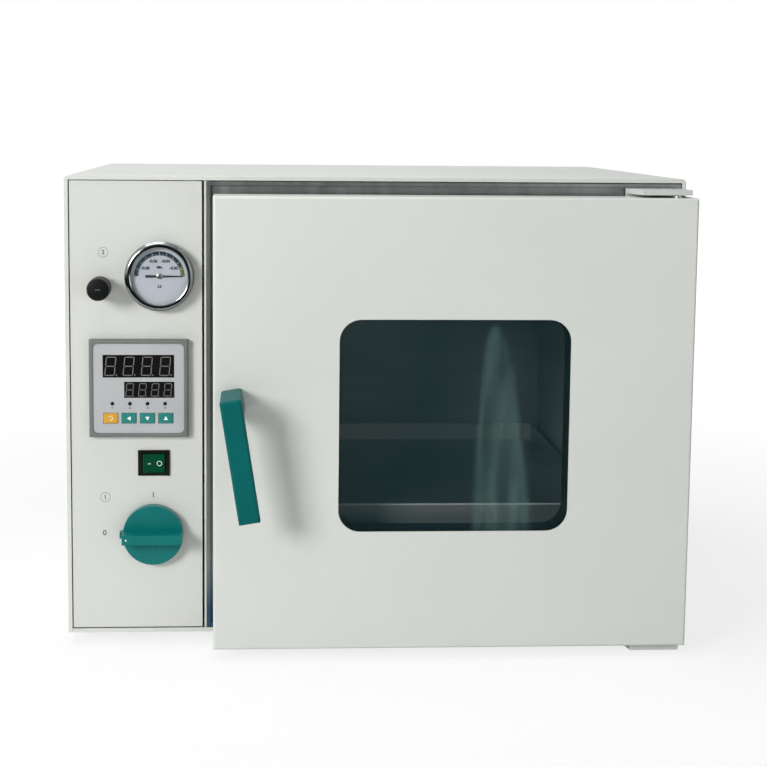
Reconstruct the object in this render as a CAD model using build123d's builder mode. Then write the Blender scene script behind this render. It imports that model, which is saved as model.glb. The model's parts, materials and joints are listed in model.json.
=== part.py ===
from build123d import *
import os
from math import cos, radians, sin

os.makedirs("parts", exist_ok=True)

# A bench-top vacuum drying oven. Millimetres. The front faces -Y, +X is to the user's right,
# +Z is up. The origin is the centre of the footprint, at the underside of the feet.
# "Depth" is measured backwards from the front edge of the casing; what stands in front of it
# has a negative depth. Heights start at the underside of the casing.

# Casing
case_width = 605
case_height = 452
case_depth = 435
case_bend = 4
sheet = 1.2
rim_width = 4
shadow_gap = 0.8
rear_flange = 12
pan_flange = 14
slip = 0.3

# Feet
foot_height = 12
foot_radius = 16
foot_sides = 24
foot_inset = 60

# Control panel and the wall beside it
panel_width = 127.4
panel_recess = 1.5
panel_sheet = 1.5
panel_return = 12
partition_gap = 2.1
partition_thickness = 2

# Stainless front frame
frame_recess = 3
frame_sheet = 1.5
frame_lip = 4

# Door
door_reveal = 7.7
door_head = 16.5
door_thickness = 43
door_gap = 8
door_side_margin = 0.7
door_drop = 1.5
door_sheet = 1.2
door_bend = 3
window_width = 221
window_height = 205
window_corner = 21
pane_thickness = 4
pane_lap = 12
tunnel_sheet = 1
door_glass_lap = 25
door_glass_thickness = 12
glass_proud = 0.3
glass_clearance = 1

# Chamber
chamber_width = 300
chamber_share = 0.6084
chamber_depth = 323
chamber_wall = 3
flange_width = 22
flange_thickness = 6
rib_width = 20
rib_height = 8
heater_thickness = 2

# Door seal
seal_inset = 2
seal_width = 14
seal_corner = 16
seal_clearance = 0.3

# Shelf
shelf_rise = 44.5
shelf_side_gap = 7
shelf_back_gap = 2.5
shelf_sheet = 1.2
shelf_flange = 20
shelf_front = 17
rail_width = 14
rail_height = 14
rail_sheet = 1.5
rail_setback = 8

# Hinges
hinge_plate = 5
hinge_leaf = 2.5
hinge_leaf_height = 34
hinge_length = 55
hinge_skew = 7
hinge_reach = 42
pin_inset = 16
pin_depth = 32
pin_radius = 4
pin_clearance = 0.05
pin_length = 20
bush_wall = 2
bush_length = 16
bush_proud = 1.5

# Handle and latch
handle_inset = 18.8
handle_height = 243
handle_tilt = 9
handle_reach = 61
handle_length = 116
handle_width = 20
handle_thickness = 15
handle_taper = 2
handle_crook = 6.5
handle_shoulder = 3
handle_round = 2.5
arm_top = 10
handle_float = 0.4
spindle_radius = 6
spindle_clearance = 0.08
spindle_socket = 24
claw_thickness = 3
claw_frame_gap = 4.6
latch_radius = 30
latch_angle = 18
stud_radius = 2.5
stud_head_radius = 4.5
stud_head_thickness = 2.2
latch_clearance = 0.3

# Heights on the panel, as shares of the casing's height
gauge_share = 0.7867
vent_share = 0.7633
controller_share = 0.5438
switch_share = 0.3781
valve_share = 0.2223

# Dial vacuum gauge
gauge_offset = 23.2
gauge_ring_radius = 34.2
gauge_ring_sides = 72
gauge_ring_height = 14
gauge_case_radius = 28.5
gauge_case_depth = 30
gauge_stub = 12
gauge_stub_radius = 8
needle_length = 20
needle_tail = 9

# Vent valve
vent_offset = -33.5
vent_knob_radius = 11
vent_knob_length = 26
vent_neck_length = 8
vent_neck_radius = 7
vent_knob_sides = 24
vent_chamfer = 1
vent_stem_radius = 3

# Temperature controller
controller_offset = 2.4
controller_size = 96
controller_proud = 8
controller_case_size = 91
controller_case_depth = 80
facia_size = 88
facia_corner = 5
facia_thickness = 3
facia_recess = 1
facia_ledge = 4
bezel_round = 2
key_width = 14.2
key_height = 10
key_pitch = 17.8
key_row = -29.2
key_lead = -0.4
key_clearance = 0.25
key_proud = 0.8
key_travel = 0.6
lamp_radius = 1.9
lamp_height = 0.6
lamp_pitch = 17
lamp_row = -14.8

# Power switch
switch_offset = 16.4
switch_width = 31
switch_tall = 25.5
switch_proud = 2.2
switch_body_depth = 24
rocker_radius = 10.9
rocker_height = 18.5
rocker_clearance = 0.3
rocker_notch = 8
rocker_swing = 8
rocker_tip = 22
rocker_sink = 1
rocker_back_gap = 1
switch_lap = 1
switch_round = 1

# Vacuum valve
valve_offset = 15.7
knob_radius = 29.5
knob_disc = 9
knob_float = 1.5
grip_height = 18
grip_width = 11
grip_taper = 2
pointer_size = 6
stem_radius = 5
valve_body_size = 30

# Rear fittings
nozzle_rise = 39.5
nozzle_radius = 5
nozzle_bore = 3
nozzle_reach = 32
gland_offset = -36
gland_height = 50
gland_bore = 4
gland_wall = 4
gland_proud = 14
gland_length = 26
gland_nut_lap = 3
fuse_offset = 6
fuse_body = 12
fuse_radius = 9
fuse_cap = 8
fuse_length = 35
screw_head_radius = 4
screw_head = 2.2
screw_margin = 60

# Derived places
base = foot_height
front_depth = handle_reach + door_thickness + door_gap
overall_depth = front_depth + case_depth + nozzle_reach
front_y = front_depth - overall_depth / 2
case_top = base + case_height
inner_left = -case_width / 2 + rim_width + shadow_gap
inner_right = -inner_left
inner_bottom = base + rim_width + shadow_gap
inner_top = case_top - rim_width - shadow_gap
inner_height = inner_top - inner_bottom
middle_z = (inner_top + inner_bottom) / 2
panel_right = inner_left + panel_width
panel_x = inner_left + panel_width / 2
partition_x = panel_right + partition_gap + partition_thickness / 2
frame_left = partition_x + partition_thickness / 2 + slip
frame_width = inner_right - frame_left
frame_x = (inner_right + frame_left) / 2
door_right = case_width / 2 - door_side_margin
door_left = frame_left + door_reveal
door_width = door_right - door_left
door_x = (door_left + door_right) / 2
door_bottom = base - door_drop
door_top = case_top - door_head
door_height = door_top - door_bottom
door_z = (door_bottom + door_top) / 2
door_back = -door_gap
door_front = door_back - door_thickness
mouth_depth = frame_recess + frame_sheet
chamber_height = case_height * chamber_share
door_glass_width = chamber_width + 2 * door_glass_lap
door_glass_height = chamber_height + 2 * door_glass_lap
frame_opening_width = chamber_width + 2 * (flange_width - frame_lip)
frame_opening_height = chamber_height + 2 * (flange_width - frame_lip)
chamber_outer_width = chamber_width + 2 * chamber_wall
chamber_outer_height = chamber_height + 2 * chamber_wall
chamber_left = door_x - chamber_outer_width / 2
chamber_back = mouth_depth + chamber_depth + chamber_wall
pin_x = door_right - pin_inset
handle_x = door_left + handle_inset
handle_z = base + handle_height
shelf_z = door_z - chamber_height / 2 + shelf_rise
shelf_width = chamber_width - 2 * shelf_side_gap
shelf_depth = mouth_depth + chamber_depth - shelf_back_gap - shelf_front
rear_depth = case_depth - sheet
gland_radius = gland_bore + gland_wall
gauge_x, gauge_z = panel_x + gauge_offset, base + case_height * gauge_share
vent_x, vent_z = panel_x + vent_offset, base + case_height * vent_share
controller_x, controller_z = panel_x + controller_offset, base + case_height * controller_share
switch_x, switch_z = panel_x + switch_offset, base + case_height * switch_share
valve_x, valve_z = panel_x + valve_offset, base + case_height * valve_share
nozzle_z = valve_z + nozzle_rise
panel_back = panel_recess + panel_sheet
vacuum_port_depth = 230
vent_port_depth = 190
pipe_radius = 3
vacuum_pipe_radius = 5
pipe_wall = 1
pipe_sides = 12


def facing(depth, x=0, z=0):
    """A plane parallel to the front, its normal towards the user, its sketch axes X and Z."""
    return Plane(origin=(x, front_y + depth, z), x_dir=(1, 0, 0), z_dir=(0, -1, 0))


def save(piece, label):
    piece.part.label = label
    export_step(piece.part, f"parts/{label}.step")


# ---------------------------------------------------------------- casing and its inner frame

with BuildPart() as casing:
    with BuildSketch(facing(case_depth)):
        with BuildLine():
            left, right = -case_width / 2, case_width / 2
            outline = Polyline((left, base), (left, case_top), (right, case_top), (right, base), close=True)
        make_face()
        fillet(vertices().group_by(Axis.Y)[-1], case_bend)
    extrude(amount=case_depth)
    with BuildSketch(facing(case_depth)):
        with Locations((0, base + (case_height - sheet) / 2)):
            Rectangle(case_width - 2 * sheet, case_height - sheet)
    extrude(amount=case_depth, mode=Mode.SUBTRACT)
    for depth, width in ((sheet, rim_width), (rear_depth, rear_flange)):
        with BuildSketch(facing(depth)):
            with Locations((0, base + (case_height - sheet) / 2)):
                Rectangle(case_width - 2 * sheet, case_height - sheet)
            with Locations((0, base + (case_height - width) / 2)):
                Rectangle(case_width - 2 * width, case_height - width, mode=Mode.SUBTRACT)
        extrude(amount=sheet)
save(casing, "casing")

pan_width = case_width - 2 * sheet - 2 * slip
pan_depth = rear_depth - sheet - 2 * slip

with BuildPart() as base_pan:
    with BuildSketch(Plane.XY.offset(base)):
        with Locations((0, front_y + pan_depth / 2)):
            Rectangle(case_width - 2 * rim_width, pan_depth)
    extrude(amount=sheet)
    with BuildSketch(Plane.XY.offset(base)):
        with Locations((0, front_y + (pan_depth + 2 * sheet) / 2)):
            Rectangle(pan_width, pan_depth - 2 * sheet)
    extrude(amount=pan_flange)
    with BuildSketch(Plane.XY.offset(base + sheet)):
        with Locations((0, front_y + pan_depth / 2)):
            Rectangle(pan_width - 2 * sheet, pan_depth - 2 * sheet)
    extrude(amount=pan_flange, mode=Mode.SUBTRACT)
    with BuildSketch(facing(sheet)):
        with Locations((0, base + rim_width / 2)):
            Rectangle(case_width - 2 * rim_width - 2 * slip, rim_width)
    extrude(amount=sheet)
save(base_pan, "base_pan")

cover_width = case_width - 2 * sheet - 2 * slip
cover_height = case_height - sheet - slip
louvre_width = 70
louvre_slot = 4
louvre_pitch = 12
louvre_rows = 8
louvre_hood = 2.5

with BuildPart() as rear_cover:
    with BuildSketch(facing(case_depth)):
        with Locations((0, base + cover_height / 2)):
            Rectangle(cover_width, cover_height)
        with Locations((valve_x, nozzle_z)):
            Circle(nozzle_radius + slip, mode=Mode.SUBTRACT)
        with Locations((panel_x + gland_offset, base + gland_height)):
            Circle(gland_radius, mode=Mode.SUBTRACT)
        with Locations((panel_x + fuse_offset, base + gland_height)):
            Rectangle(fuse_body, fuse_body, mode=Mode.SUBTRACT)
    extrude(amount=sheet)
    louvres = [
        (x, door_z + (row - (louvre_rows - 1) / 2) * louvre_pitch)
        for x in (door_x - louvre_width, door_x + louvre_width)
        for row in range(louvre_rows)
    ]
    with BuildSketch(facing(case_depth)):
        with Locations(*louvres):
            Rectangle(louvre_width, louvre_slot)
    extrude(amount=sheet, mode=Mode.SUBTRACT)
    with BuildSketch(facing(case_depth + louvre_hood)):
        with Locations(*[(x, z + louvre_slot / 2 + sheet / 2) for x, z in louvres]):
            Rectangle(louvre_width, sheet)
    extrude(amount=louvre_hood)
save(rear_cover, "rear_cover")

screw_rows = (base + screw_margin, base + case_height / 2, case_top - screw_margin)
screw_side = case_width / 2 - rear_flange / 2
screw_places = [(x, z) for x in (-screw_side, screw_side) for z in screw_rows]
screw_places.append((0, case_top - rear_flange / 2))

with BuildPart() as cover_screws:
    with BuildSketch(facing(case_depth + screw_head)):
        with Locations(*screw_places):
            RegularPolygon(screw_head_radius, 6)
    extrude(amount=screw_head)
save(cover_screws, "cover_screws")

foot_places = [
    (x, front_y + depth)
    for x in (-case_width / 2 + foot_inset, case_width / 2 - foot_inset)
    for depth in (foot_inset, case_depth - foot_inset)
]

with BuildPart() as feet:
    with BuildSketch(Plane.XY):
        with Locations(*foot_places):
            RegularPolygon(foot_radius, foot_sides)
    extrude(amount=foot_height)
save(feet, "feet")

# ---------------------------------------------------------------- panel, partition, front frame

cutout_clearance = 0.5

with BuildPart() as control_panel:
    with BuildSketch(facing(panel_back)):
        with Locations((panel_x, middle_z)):
            Rectangle(panel_width, inner_height)
    extrude(amount=panel_sheet)
    with BuildSketch(facing(panel_back + panel_return)):
        with Locations((panel_x, middle_z)):
            Rectangle(panel_width, inner_height)
            Rectangle(panel_width - 2 * panel_sheet, inner_height - 2 * panel_sheet, mode=Mode.SUBTRACT)
    extrude(amount=panel_return)
    with BuildSketch(facing(panel_back)):
        with Locations((gauge_x, gauge_z)):
            Circle(gauge_case_radius + cutout_clearance)
        with Locations((vent_x, vent_z)):
            Circle(vent_stem_radius + cutout_clearance)
        with Locations((controller_x, controller_z)):
            Rectangle(controller_case_size + 2 * cutout_clearance, controller_case_size + 2 * cutout_clearance)
        with Locations((switch_x, switch_z)):
            Rectangle(switch_width - 2 * switch_lap, switch_tall - 2 * switch_lap)
        with Locations((valve_x, valve_z)):
            Circle(stem_radius + cutout_clearance)
    extrude(amount=panel_sheet, mode=Mode.SUBTRACT)
save(control_panel, "control_panel")

side_ports = (
    (vacuum_port_depth, valve_z, vacuum_pipe_radius),
    (vent_port_depth, vent_z, pipe_radius),
)


def side_view(x):
    """A plane across the oven at x, its sketch axes Y and Z."""
    return Plane(origin=(x, 0, 0), x_dir=(0, 1, 0), z_dir=(1, 0, 0))


partition_height = case_height - 2 * sheet - slip
partition_depth = pan_depth - sheet - slip
pipe_clearance = 1

with BuildPart() as partition:
    with BuildSketch(side_view(partition_x)):
        with Locations((front_y + panel_recess / 2 + partition_depth / 2, base + sheet + partition_height / 2)):
            Rectangle(partition_depth - panel_recess, partition_height)
        with Locations((front_y + sheet / 2, base + rim_width / 2), (front_y + sheet / 2, case_top - rim_width / 2)):
            Rectangle(2 * sheet, rim_width + 2 * slip, mode=Mode.SUBTRACT)
        for depth, z, radius in side_ports:
            with Locations((front_y + depth, z)):
                Rectangle(2 * (radius + pipe_clearance), 2 * (radius + pipe_clearance), mode=Mode.SUBTRACT)
    extrude(amount=partition_thickness / 2, both=True)
save(partition, "partition")

with BuildPart() as front_frame:
    with BuildSketch(facing(mouth_depth)):
        with Locations((frame_x, middle_z)):
            Rectangle(frame_width, inner_height)
    extrude(amount=mouth_depth - slip)
    with BuildSketch(facing(frame_recess)):
        with Locations((frame_x, middle_z)):
            Rectangle(frame_width - 2 * frame_lip, inner_height - 2 * frame_lip)
    extrude(amount=frame_recess, mode=Mode.SUBTRACT)
    with BuildSketch(facing(mouth_depth)):
        with Locations((door_x, door_z)):
            Rectangle(frame_opening_width, frame_opening_height)
    extrude(amount=mouth_depth, mode=Mode.SUBTRACT)
save(front_frame, "front_frame")

# ---------------------------------------------------------------- chamber and what surrounds it

with BuildPart() as chamber:
    with BuildSketch(facing(chamber_back)):
        with Locations((door_x, door_z)):
            Rectangle(chamber_outer_width, chamber_outer_height)
    extrude(amount=chamber_back - mouth_depth)
    with BuildSketch(facing(mouth_depth + flange_thickness)):
        with Locations((door_x, door_z)):
            Rectangle(chamber_width + 2 * flange_width, chamber_height + 2 * flange_width)
    extrude(amount=flange_thickness)
    with BuildSketch(facing(mouth_depth + chamber_depth)):
        with Locations((door_x, door_z)):
            Rectangle(chamber_width, chamber_height)
    extrude(amount=chamber_depth, mode=Mode.SUBTRACT)
    for depth, z, radius in side_ports:
        with BuildSketch(side_view(chamber_left)):
            with Locations((front_y + depth, z)):
                Circle(radius - pipe_wall)
        extrude(amount=chamber_wall, mode=Mode.SUBTRACT)
save(chamber, "chamber")

rib_depths = (60, 165, 270)

with BuildPart() as chamber_ribs:
    for depth in rib_depths:
        with BuildSketch(facing(depth + rib_width / 2)):
            with Locations((door_x, door_z)):
                Rectangle(chamber_outer_width + 2 * rib_height, chamber_outer_height + 2 * rib_height)
                Rectangle(chamber_outer_width, chamber_outer_height, mode=Mode.SUBTRACT)
        extrude(amount=rib_width)
save(chamber_ribs, "chamber_ribs")

stand_spread = 200
stand_width = 30
stand_sheet = 3
stand_height = door_z - chamber_outer_height / 2 - rib_height - base - sheet

with BuildPart() as chamber_stands:
    with BuildSketch(facing(rib_depths[-1] + rib_width / 2)):
        for x in (door_x - stand_spread / 2, door_x + stand_spread / 2):
            with Locations((x, base + sheet + stand_height / 2)):
                Rectangle(stand_width, stand_height)
            with Locations((x, base + sheet + (stand_height - stand_sheet) / 2)):
                Rectangle(stand_width - 2 * stand_sheet, stand_height - stand_sheet, mode=Mode.SUBTRACT)
    extrude(amount=rib_depths[-1] - rib_depths[0] + rib_width)
save(chamber_stands, "chamber_stands")

heater_front_gap = 10
heater_back_gap = 5
heater_front = rib_depths[0] + rib_width / 2 + heater_front_gap
heater_back = rib_depths[1] - rib_width / 2 - heater_back_gap
heater_share = 0.9

with BuildPart() as heater_pads:
    with BuildSketch(facing(heater_back)):
        offset_x = (chamber_outer_width + heater_thickness) / 2
        offset_z = (chamber_outer_height + heater_thickness) / 2
        with Locations((door_x - offset_x, door_z), (door_x + offset_x, door_z)):
            Rectangle(heater_thickness, chamber_height * heater_share)
        with Locations((door_x, door_z - offset_z), (door_x, door_z + offset_z)):
            Rectangle(chamber_width * heater_share, heater_thickness)
    extrude(amount=heater_back - heater_front)
save(heater_pads, "heater_pads")

probe_radius = 3
probe_length = 60
probe_offset = 60
probe_rib_gap = 8

with BuildPart() as temperature_probe:
    with BuildSketch(facing(rib_depths[2] - rib_width / 2 - probe_rib_gap)):
        with Locations((door_x + probe_offset, door_z + chamber_outer_height / 2 + probe_radius)):
            Circle(probe_radius)
    extrude(amount=probe_length)
save(temperature_probe, "temperature_probe")

wool_clearance = 2
wool_rear_space = 30
wool_left = partition_x + partition_thickness / 2 + wool_clearance
wool_right = case_width / 2 - sheet - wool_clearance
wool_top = case_top - sheet - wool_clearance
wool_front = mouth_depth + flange_thickness + wool_clearance
rib_left = chamber_left - rib_height
rib_right = 2 * door_x - rib_left
rib_top = door_z + chamber_outer_height / 2 + rib_height

with BuildPart() as insulation_slabs:
    side_height = 2 * (rib_top - door_z)
    side_depth = chamber_back - wool_front
    for low, high in ((wool_left, rib_left), (rib_right, wool_right)):
        with BuildSketch(facing(chamber_back)):
            with Locations(((low + high) / 2, door_z)):
                Rectangle(high - low, side_height)
        extrude(amount=side_depth)
    for depth, z, radius in side_ports:
        with BuildSketch(side_view(wool_left)):
            with Locations((front_y + depth, z)):
                Rectangle(2 * (radius + pipe_clearance), 2 * (radius + pipe_clearance))
        extrude(amount=rib_left - wool_left, mode=Mode.SUBTRACT)
    with BuildSketch(facing(chamber_back)):
        with Locations(((wool_left + wool_right) / 2, (rib_top + wool_top) / 2)):
            Rectangle(wool_right - wool_left, wool_top - rib_top)
    extrude(amount=side_depth)
    wool_rear = rear_depth - sheet - wool_clearance - wool_rear_space
    with BuildSketch(facing(wool_rear)):
        with Locations((door_x, door_z)):
            Rectangle(chamber_outer_width, chamber_outer_height)
    extrude(amount=wool_rear - chamber_back)
save(insulation_slabs, "insulation_slabs")

seal_outer_width = frame_opening_width - 2 * seal_inset
seal_outer_height = frame_opening_height - 2 * seal_inset
seal_front = door_back + glass_proud + seal_clearance

with BuildPart() as door_seal:
    with BuildSketch(facing(mouth_depth)):
        with Locations((door_x, door_z)):
            RectangleRounded(seal_outer_width, seal_outer_height, seal_corner)
            RectangleRounded(
                seal_outer_width - 2 * seal_width,
                seal_outer_height - 2 * seal_width,
                seal_corner / 2,
                mode=Mode.SUBTRACT,
            )
    extrude(amount=mouth_depth - seal_front)
save(door_seal, "door_seal")

rail_front = shelf_front + shelf_sheet + rail_setback
rail_back = shelf_front + shelf_depth
rail_left = door_x - chamber_width / 2
rail_right = door_x + chamber_width / 2

with BuildPart() as shelf_rails:
    for wall, side in ((rail_left, 1), (rail_right, -1)):
        with BuildSketch(facing(rail_back)):
            with Locations((wall + side * rail_width / 2, shelf_z - slip / 2 - rail_sheet / 2)):
                Rectangle(rail_width, rail_sheet)
            with Locations((wall + side * rail_sheet / 2, shelf_z - slip / 2 - rail_height / 2)):
                Rectangle(rail_sheet, rail_height)
        extrude(amount=rail_back - rail_front)
save(shelf_rails, "shelf_rails")

with BuildPart() as shelf:
    with BuildSketch(Plane.XY.offset(shelf_z)):
        with Locations((door_x, front_y + shelf_front + shelf_depth / 2)):
            Rectangle(shelf_width, shelf_depth)
    extrude(amount=shelf_sheet + shelf_flange)
    with BuildSketch(Plane.XY.offset(shelf_z + shelf_sheet)):
        with Locations((door_x, front_y + shelf_front + (shelf_depth - shelf_sheet) / 2)):
            Rectangle(shelf_width - 2 * shelf_sheet, shelf_depth - shelf_sheet)
    extrude(amount=shelf_flange, mode=Mode.SUBTRACT)
    with BuildSketch(Plane.XY.offset(shelf_z - shelf_flange)):
        with Locations((door_x, front_y + shelf_front + shelf_sheet / 2)):
            Rectangle(shelf_width, shelf_sheet)
    extrude(amount=shelf_flange)
save(shelf, "shelf")

# ---------------------------------------------------------------- door

spindle_hole = spindle_radius + spindle_clearance
bush_radius = pin_radius + pin_clearance + bush_wall

with BuildPart() as door_shell:
    with BuildSketch(facing(door_back)):
        with Locations((door_x, door_z)):
            Rectangle(door_width, door_height)
    extrude(amount=door_thickness)
    outer_faces = faces().sort_by(Axis.Y)[0]
    fillet(outer_faces.edges(), door_bend)
    with BuildSketch(facing(door_back)):
        with Locations((door_x, door_z)):
            Rectangle(door_width - 2 * door_sheet, door_height - 2 * door_sheet)
    extrude(amount=door_thickness - door_sheet, mode=Mode.SUBTRACT)
    with BuildSketch(facing(door_front + door_sheet)):
        with Locations((door_x, door_z)):
            RectangleRounded(window_width, window_height, window_corner)
        with Locations((handle_x, handle_z)):
            Circle(spindle_hole)
    extrude(amount=door_sheet, mode=Mode.SUBTRACT)
    with BuildSketch(Plane.XY.offset(door_bottom)):
        with Locations((pin_x, front_y - pin_depth)):
            Circle(bush_radius)
    extrude(amount=door_height, mode=Mode.SUBTRACT)
save(door_shell, "door_shell")

liner_width = door_width - 2 * door_sheet - 2 * slip
liner_height = door_height - 2 * door_sheet - 2 * slip

with BuildPart() as door_liner:
    with BuildSketch(facing(door_back)):
        with Locations((door_x, door_z)):
            Rectangle(liner_width, liner_height)
            Rectangle(
                door_glass_width + 2 * glass_clearance,
                door_glass_height + 2 * glass_clearance,
                mode=Mode.SUBTRACT,
            )
        with Locations((handle_x, handle_z)):
            Circle(spindle_hole, mode=Mode.SUBTRACT)
    extrude(amount=door_sheet)
save(door_liner, "door_liner")

pane_front = door_front + door_sheet

with BuildPart() as window_pane:
    with BuildSketch(facing(pane_front + pane_thickness)):
        with Locations((door_x, door_z)):
            RectangleRounded(window_width + 2 * pane_lap, window_height + 2 * pane_lap, window_corner)
    extrude(amount=pane_thickness)
save(window_pane, "window_pane")

glass_back = door_back + glass_proud
glass_front = glass_back - door_glass_thickness

with BuildPart() as door_glass:
    with BuildSketch(facing(glass_back)):
        with Locations((door_x, door_z)):
            Rectangle(door_glass_width, door_glass_height)
    extrude(amount=door_glass_thickness)
save(door_glass, "door_glass")

with BuildPart() as window_tunnel:
    with BuildSketch(facing(glass_front)):
        with Locations((door_x, door_z)):
            RectangleRounded(
                window_width + 2 * tunnel_sheet, window_height + 2 * tunnel_sheet, window_corner
            )
    extrude(amount=glass_front - pane_front - pane_thickness)
    with BuildSketch(facing(glass_front)):
        with Locations((door_x, door_z)):
            Rectangle(door_glass_width, door_glass_height)
    extrude(amount=tunnel_sheet)
    with BuildSketch(facing(glass_front)):
        with Locations((door_x, door_z)):
            RectangleRounded(window_width, window_height, window_corner)
    extrude(amount=door_thickness, mode=Mode.SUBTRACT)
save(window_tunnel, "window_tunnel")

wool_edge = 6
pin_margin = 12

with BuildPart() as door_insulation:
    ring_left = door_left + wool_edge
    ring_right = pin_x - bush_radius - pin_margin
    with BuildSketch(facing(glass_front - tunnel_sheet)):
        with Locations(((ring_left + ring_right) / 2, door_z)):
            Rectangle(ring_right - ring_left, door_height - 2 * wool_edge)
        with Locations((door_x, door_z)):
            Rectangle(
                window_width + 2 * pane_lap + 2 * wool_edge,
                window_height + 2 * pane_lap + 2 * wool_edge,
                mode=Mode.SUBTRACT,
            )
        with Locations((handle_x, handle_z)):
            Circle(spindle_hole + wool_clearance, mode=Mode.SUBTRACT)
    extrude(amount=glass_front - tunnel_sheet - pane_front)
save(door_insulation, "door_insulation")

clip_length = 26
clip_width = 16
clip_lap = 4
clip_sheet = 1.2
clip_spread = 0.5

with BuildPart() as glass_clips:
    clip_reach_x = door_glass_width / 2 - clip_lap + clip_width / 2
    clip_reach_z = door_glass_height / 2 - clip_lap + clip_width / 2
    with BuildSketch(facing(glass_back + clip_sheet)):
        for side in (-1, 1):
            for share in (-clip_spread, clip_spread):
                with Locations((door_x + side * clip_reach_x, door_z + share * door_glass_height / 2)):
                    Rectangle(clip_width, clip_length)
                with Locations((door_x + share * door_glass_width / 2, door_z + side * clip_reach_z)):
                    Rectangle(clip_length, clip_width)
    extrude(amount=clip_sheet)
    with BuildSketch(facing(door_back + clip_sheet)):
        for side in (-1, 1):
            foot_x = side * (clip_reach_x + clip_lap)
            foot_z = side * (clip_reach_z + clip_lap)
            for share in (-clip_spread, clip_spread):
                with Locations((door_x + foot_x, door_z + share * door_glass_height / 2)):
                    Rectangle(clip_width - 2 * clip_lap, clip_length)
                with Locations((door_x + share * door_glass_width / 2, door_z + foot_z)):
                    Rectangle(clip_length, clip_width - 2 * clip_lap)
    extrude(amount=clip_sheet)
save(glass_clips, "glass_clips")

# ---------------------------------------------------------------- hinges

pad_height = 18
pad_inset = 6
leaf_right = inner_right - slip
leaf_x = leaf_right - hinge_length / 2
top_gap = 2.5
bottom_gap = 1.9

with BuildPart() as hinge_plates:
    for plate_z, leaf_way in ((door_top + top_gap, -1), (door_bottom - bottom_gap - hinge_plate, 1)):
        with BuildSketch(Plane.XY.offset(plate_z)):
            with BuildLine():
                Polyline(
                    (leaf_right - hinge_length, front_y),
                    (leaf_right - hinge_length + hinge_skew, front_y - hinge_reach),
                    (leaf_right, front_y - hinge_reach),
                    (leaf_right, front_y),
                    close=True,
                )
            make_face()
            with Locations((pin_x, front_y - pin_depth)):
                Circle(pin_radius, mode=Mode.SUBTRACT)
        extrude(amount=hinge_plate)
        leaf_z = plate_z + (hinge_plate + leaf_way * hinge_leaf_height) / 2
        pad_z = plate_z + (hinge_plate + leaf_way * (2 * hinge_leaf_height + hinge_plate - pad_height)) / 2
        with BuildSketch(facing(0)):
            with Locations((leaf_x, leaf_z)):
                Rectangle(hinge_length, hinge_leaf_height + hinge_plate)
        extrude(amount=hinge_leaf)
        with BuildSketch(facing(frame_recess)):
            with Locations((leaf_x, pad_z)):
                Rectangle(hinge_length - 2 * pad_inset, pad_height)
        extrude(amount=frame_recess)
save(hinge_plates, "hinge_plates")

with BuildPart() as hinge_pins:
    with BuildSketch(Plane.XY.offset(door_top - pin_length)):
        with Locations((pin_x, front_y - pin_depth)):
            Circle(pin_radius)
    extrude(amount=pin_length + top_gap + hinge_plate)
    with BuildSketch(Plane.XY.offset(door_bottom - bottom_gap - hinge_plate)):
        with Locations((pin_x, front_y - pin_depth)):
            Circle(pin_radius)
    extrude(amount=pin_length + bottom_gap + hinge_plate)
save(hinge_pins, "hinge_pins")

with BuildPart() as hinge_bushes:
    for start in (door_top - bush_length, door_bottom - bush_proud):
        with BuildSketch(Plane.XY.offset(start)):
            with Locations((pin_x, front_y - pin_depth)):
                Circle(bush_radius)
                Circle(pin_radius + pin_clearance, mode=Mode.SUBTRACT)
        extrude(amount=bush_length + bush_proud)
save(hinge_bushes, "hinge_bushes")

# ---------------------------------------------------------------- handle and latch

tilt = radians(handle_tilt)
lever_plane = Plane(
    origin=(handle_x, front_y + door_front, handle_z),
    x_dir=(0, -1, 0),
    z_dir=(-cos(tilt), 0, -sin(tilt)),
)
lever_end = arm_top - handle_length
inner_reach = handle_reach - handle_thickness

with BuildPart() as handle_lever:
    with BuildSketch(lever_plane):
        with BuildLine():
            Polyline(
                (handle_float, -arm_top),
                (handle_float, arm_top),
                (handle_reach, arm_top),
                (handle_reach, lever_end),
                (inner_reach + handle_taper, lever_end),
                (inner_reach, -arm_top),
                close=True,
            )
        make_face()
        fillet(vertices().sort_by_distance((inner_reach, -arm_top))[0], handle_crook)
        fillet(vertices().sort_by_distance((handle_reach, arm_top))[0], handle_shoulder)
    extrude(amount=handle_width / 2, both=True)
    fillet(edges().group_by(Axis.Y)[0], handle_round)
    with BuildSketch(facing(door_front, handle_x, handle_z)):
        Circle(spindle_radius)
    extrude(amount=spindle_socket, mode=Mode.SUBTRACT)
save(handle_lever, "handle_lever")

claw_back = frame_recess - claw_frame_gap
claw_front = claw_back - claw_thickness
stud_face = claw_front - latch_clearance
latch_turn = radians(latch_angle)

with BuildPart() as handle_spindle:
    with BuildSketch(facing(claw_front, handle_x, handle_z)):
        Circle(spindle_radius)
    extrude(amount=claw_front - door_front + spindle_socket)
save(handle_spindle, "handle_spindle")

claw_mouth = 3.4
claw_width = 15.4
claw_hub = 11
claw_toe = 8
claw_play = 0.5
claw_tail = latch_radius + claw_toe
claw_slot = 2 * (stud_radius + claw_play)

with BuildPart() as latch_claw:
    with BuildSketch(facing(claw_back, handle_x, handle_z)):
        with Locations((claw_width / 2 - claw_mouth, -claw_tail / 2)):
            Rectangle(claw_width, claw_tail)
        Circle(claw_hub)
        with Locations((-claw_width / 2, -latch_radius)):
            Rectangle(claw_width, claw_slot, mode=Mode.SUBTRACT)
        with Locations((0, -latch_radius)):
            Circle(claw_slot / 2, mode=Mode.SUBTRACT)
    extrude(amount=claw_thickness)
save(latch_claw, "latch_claw")

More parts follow.
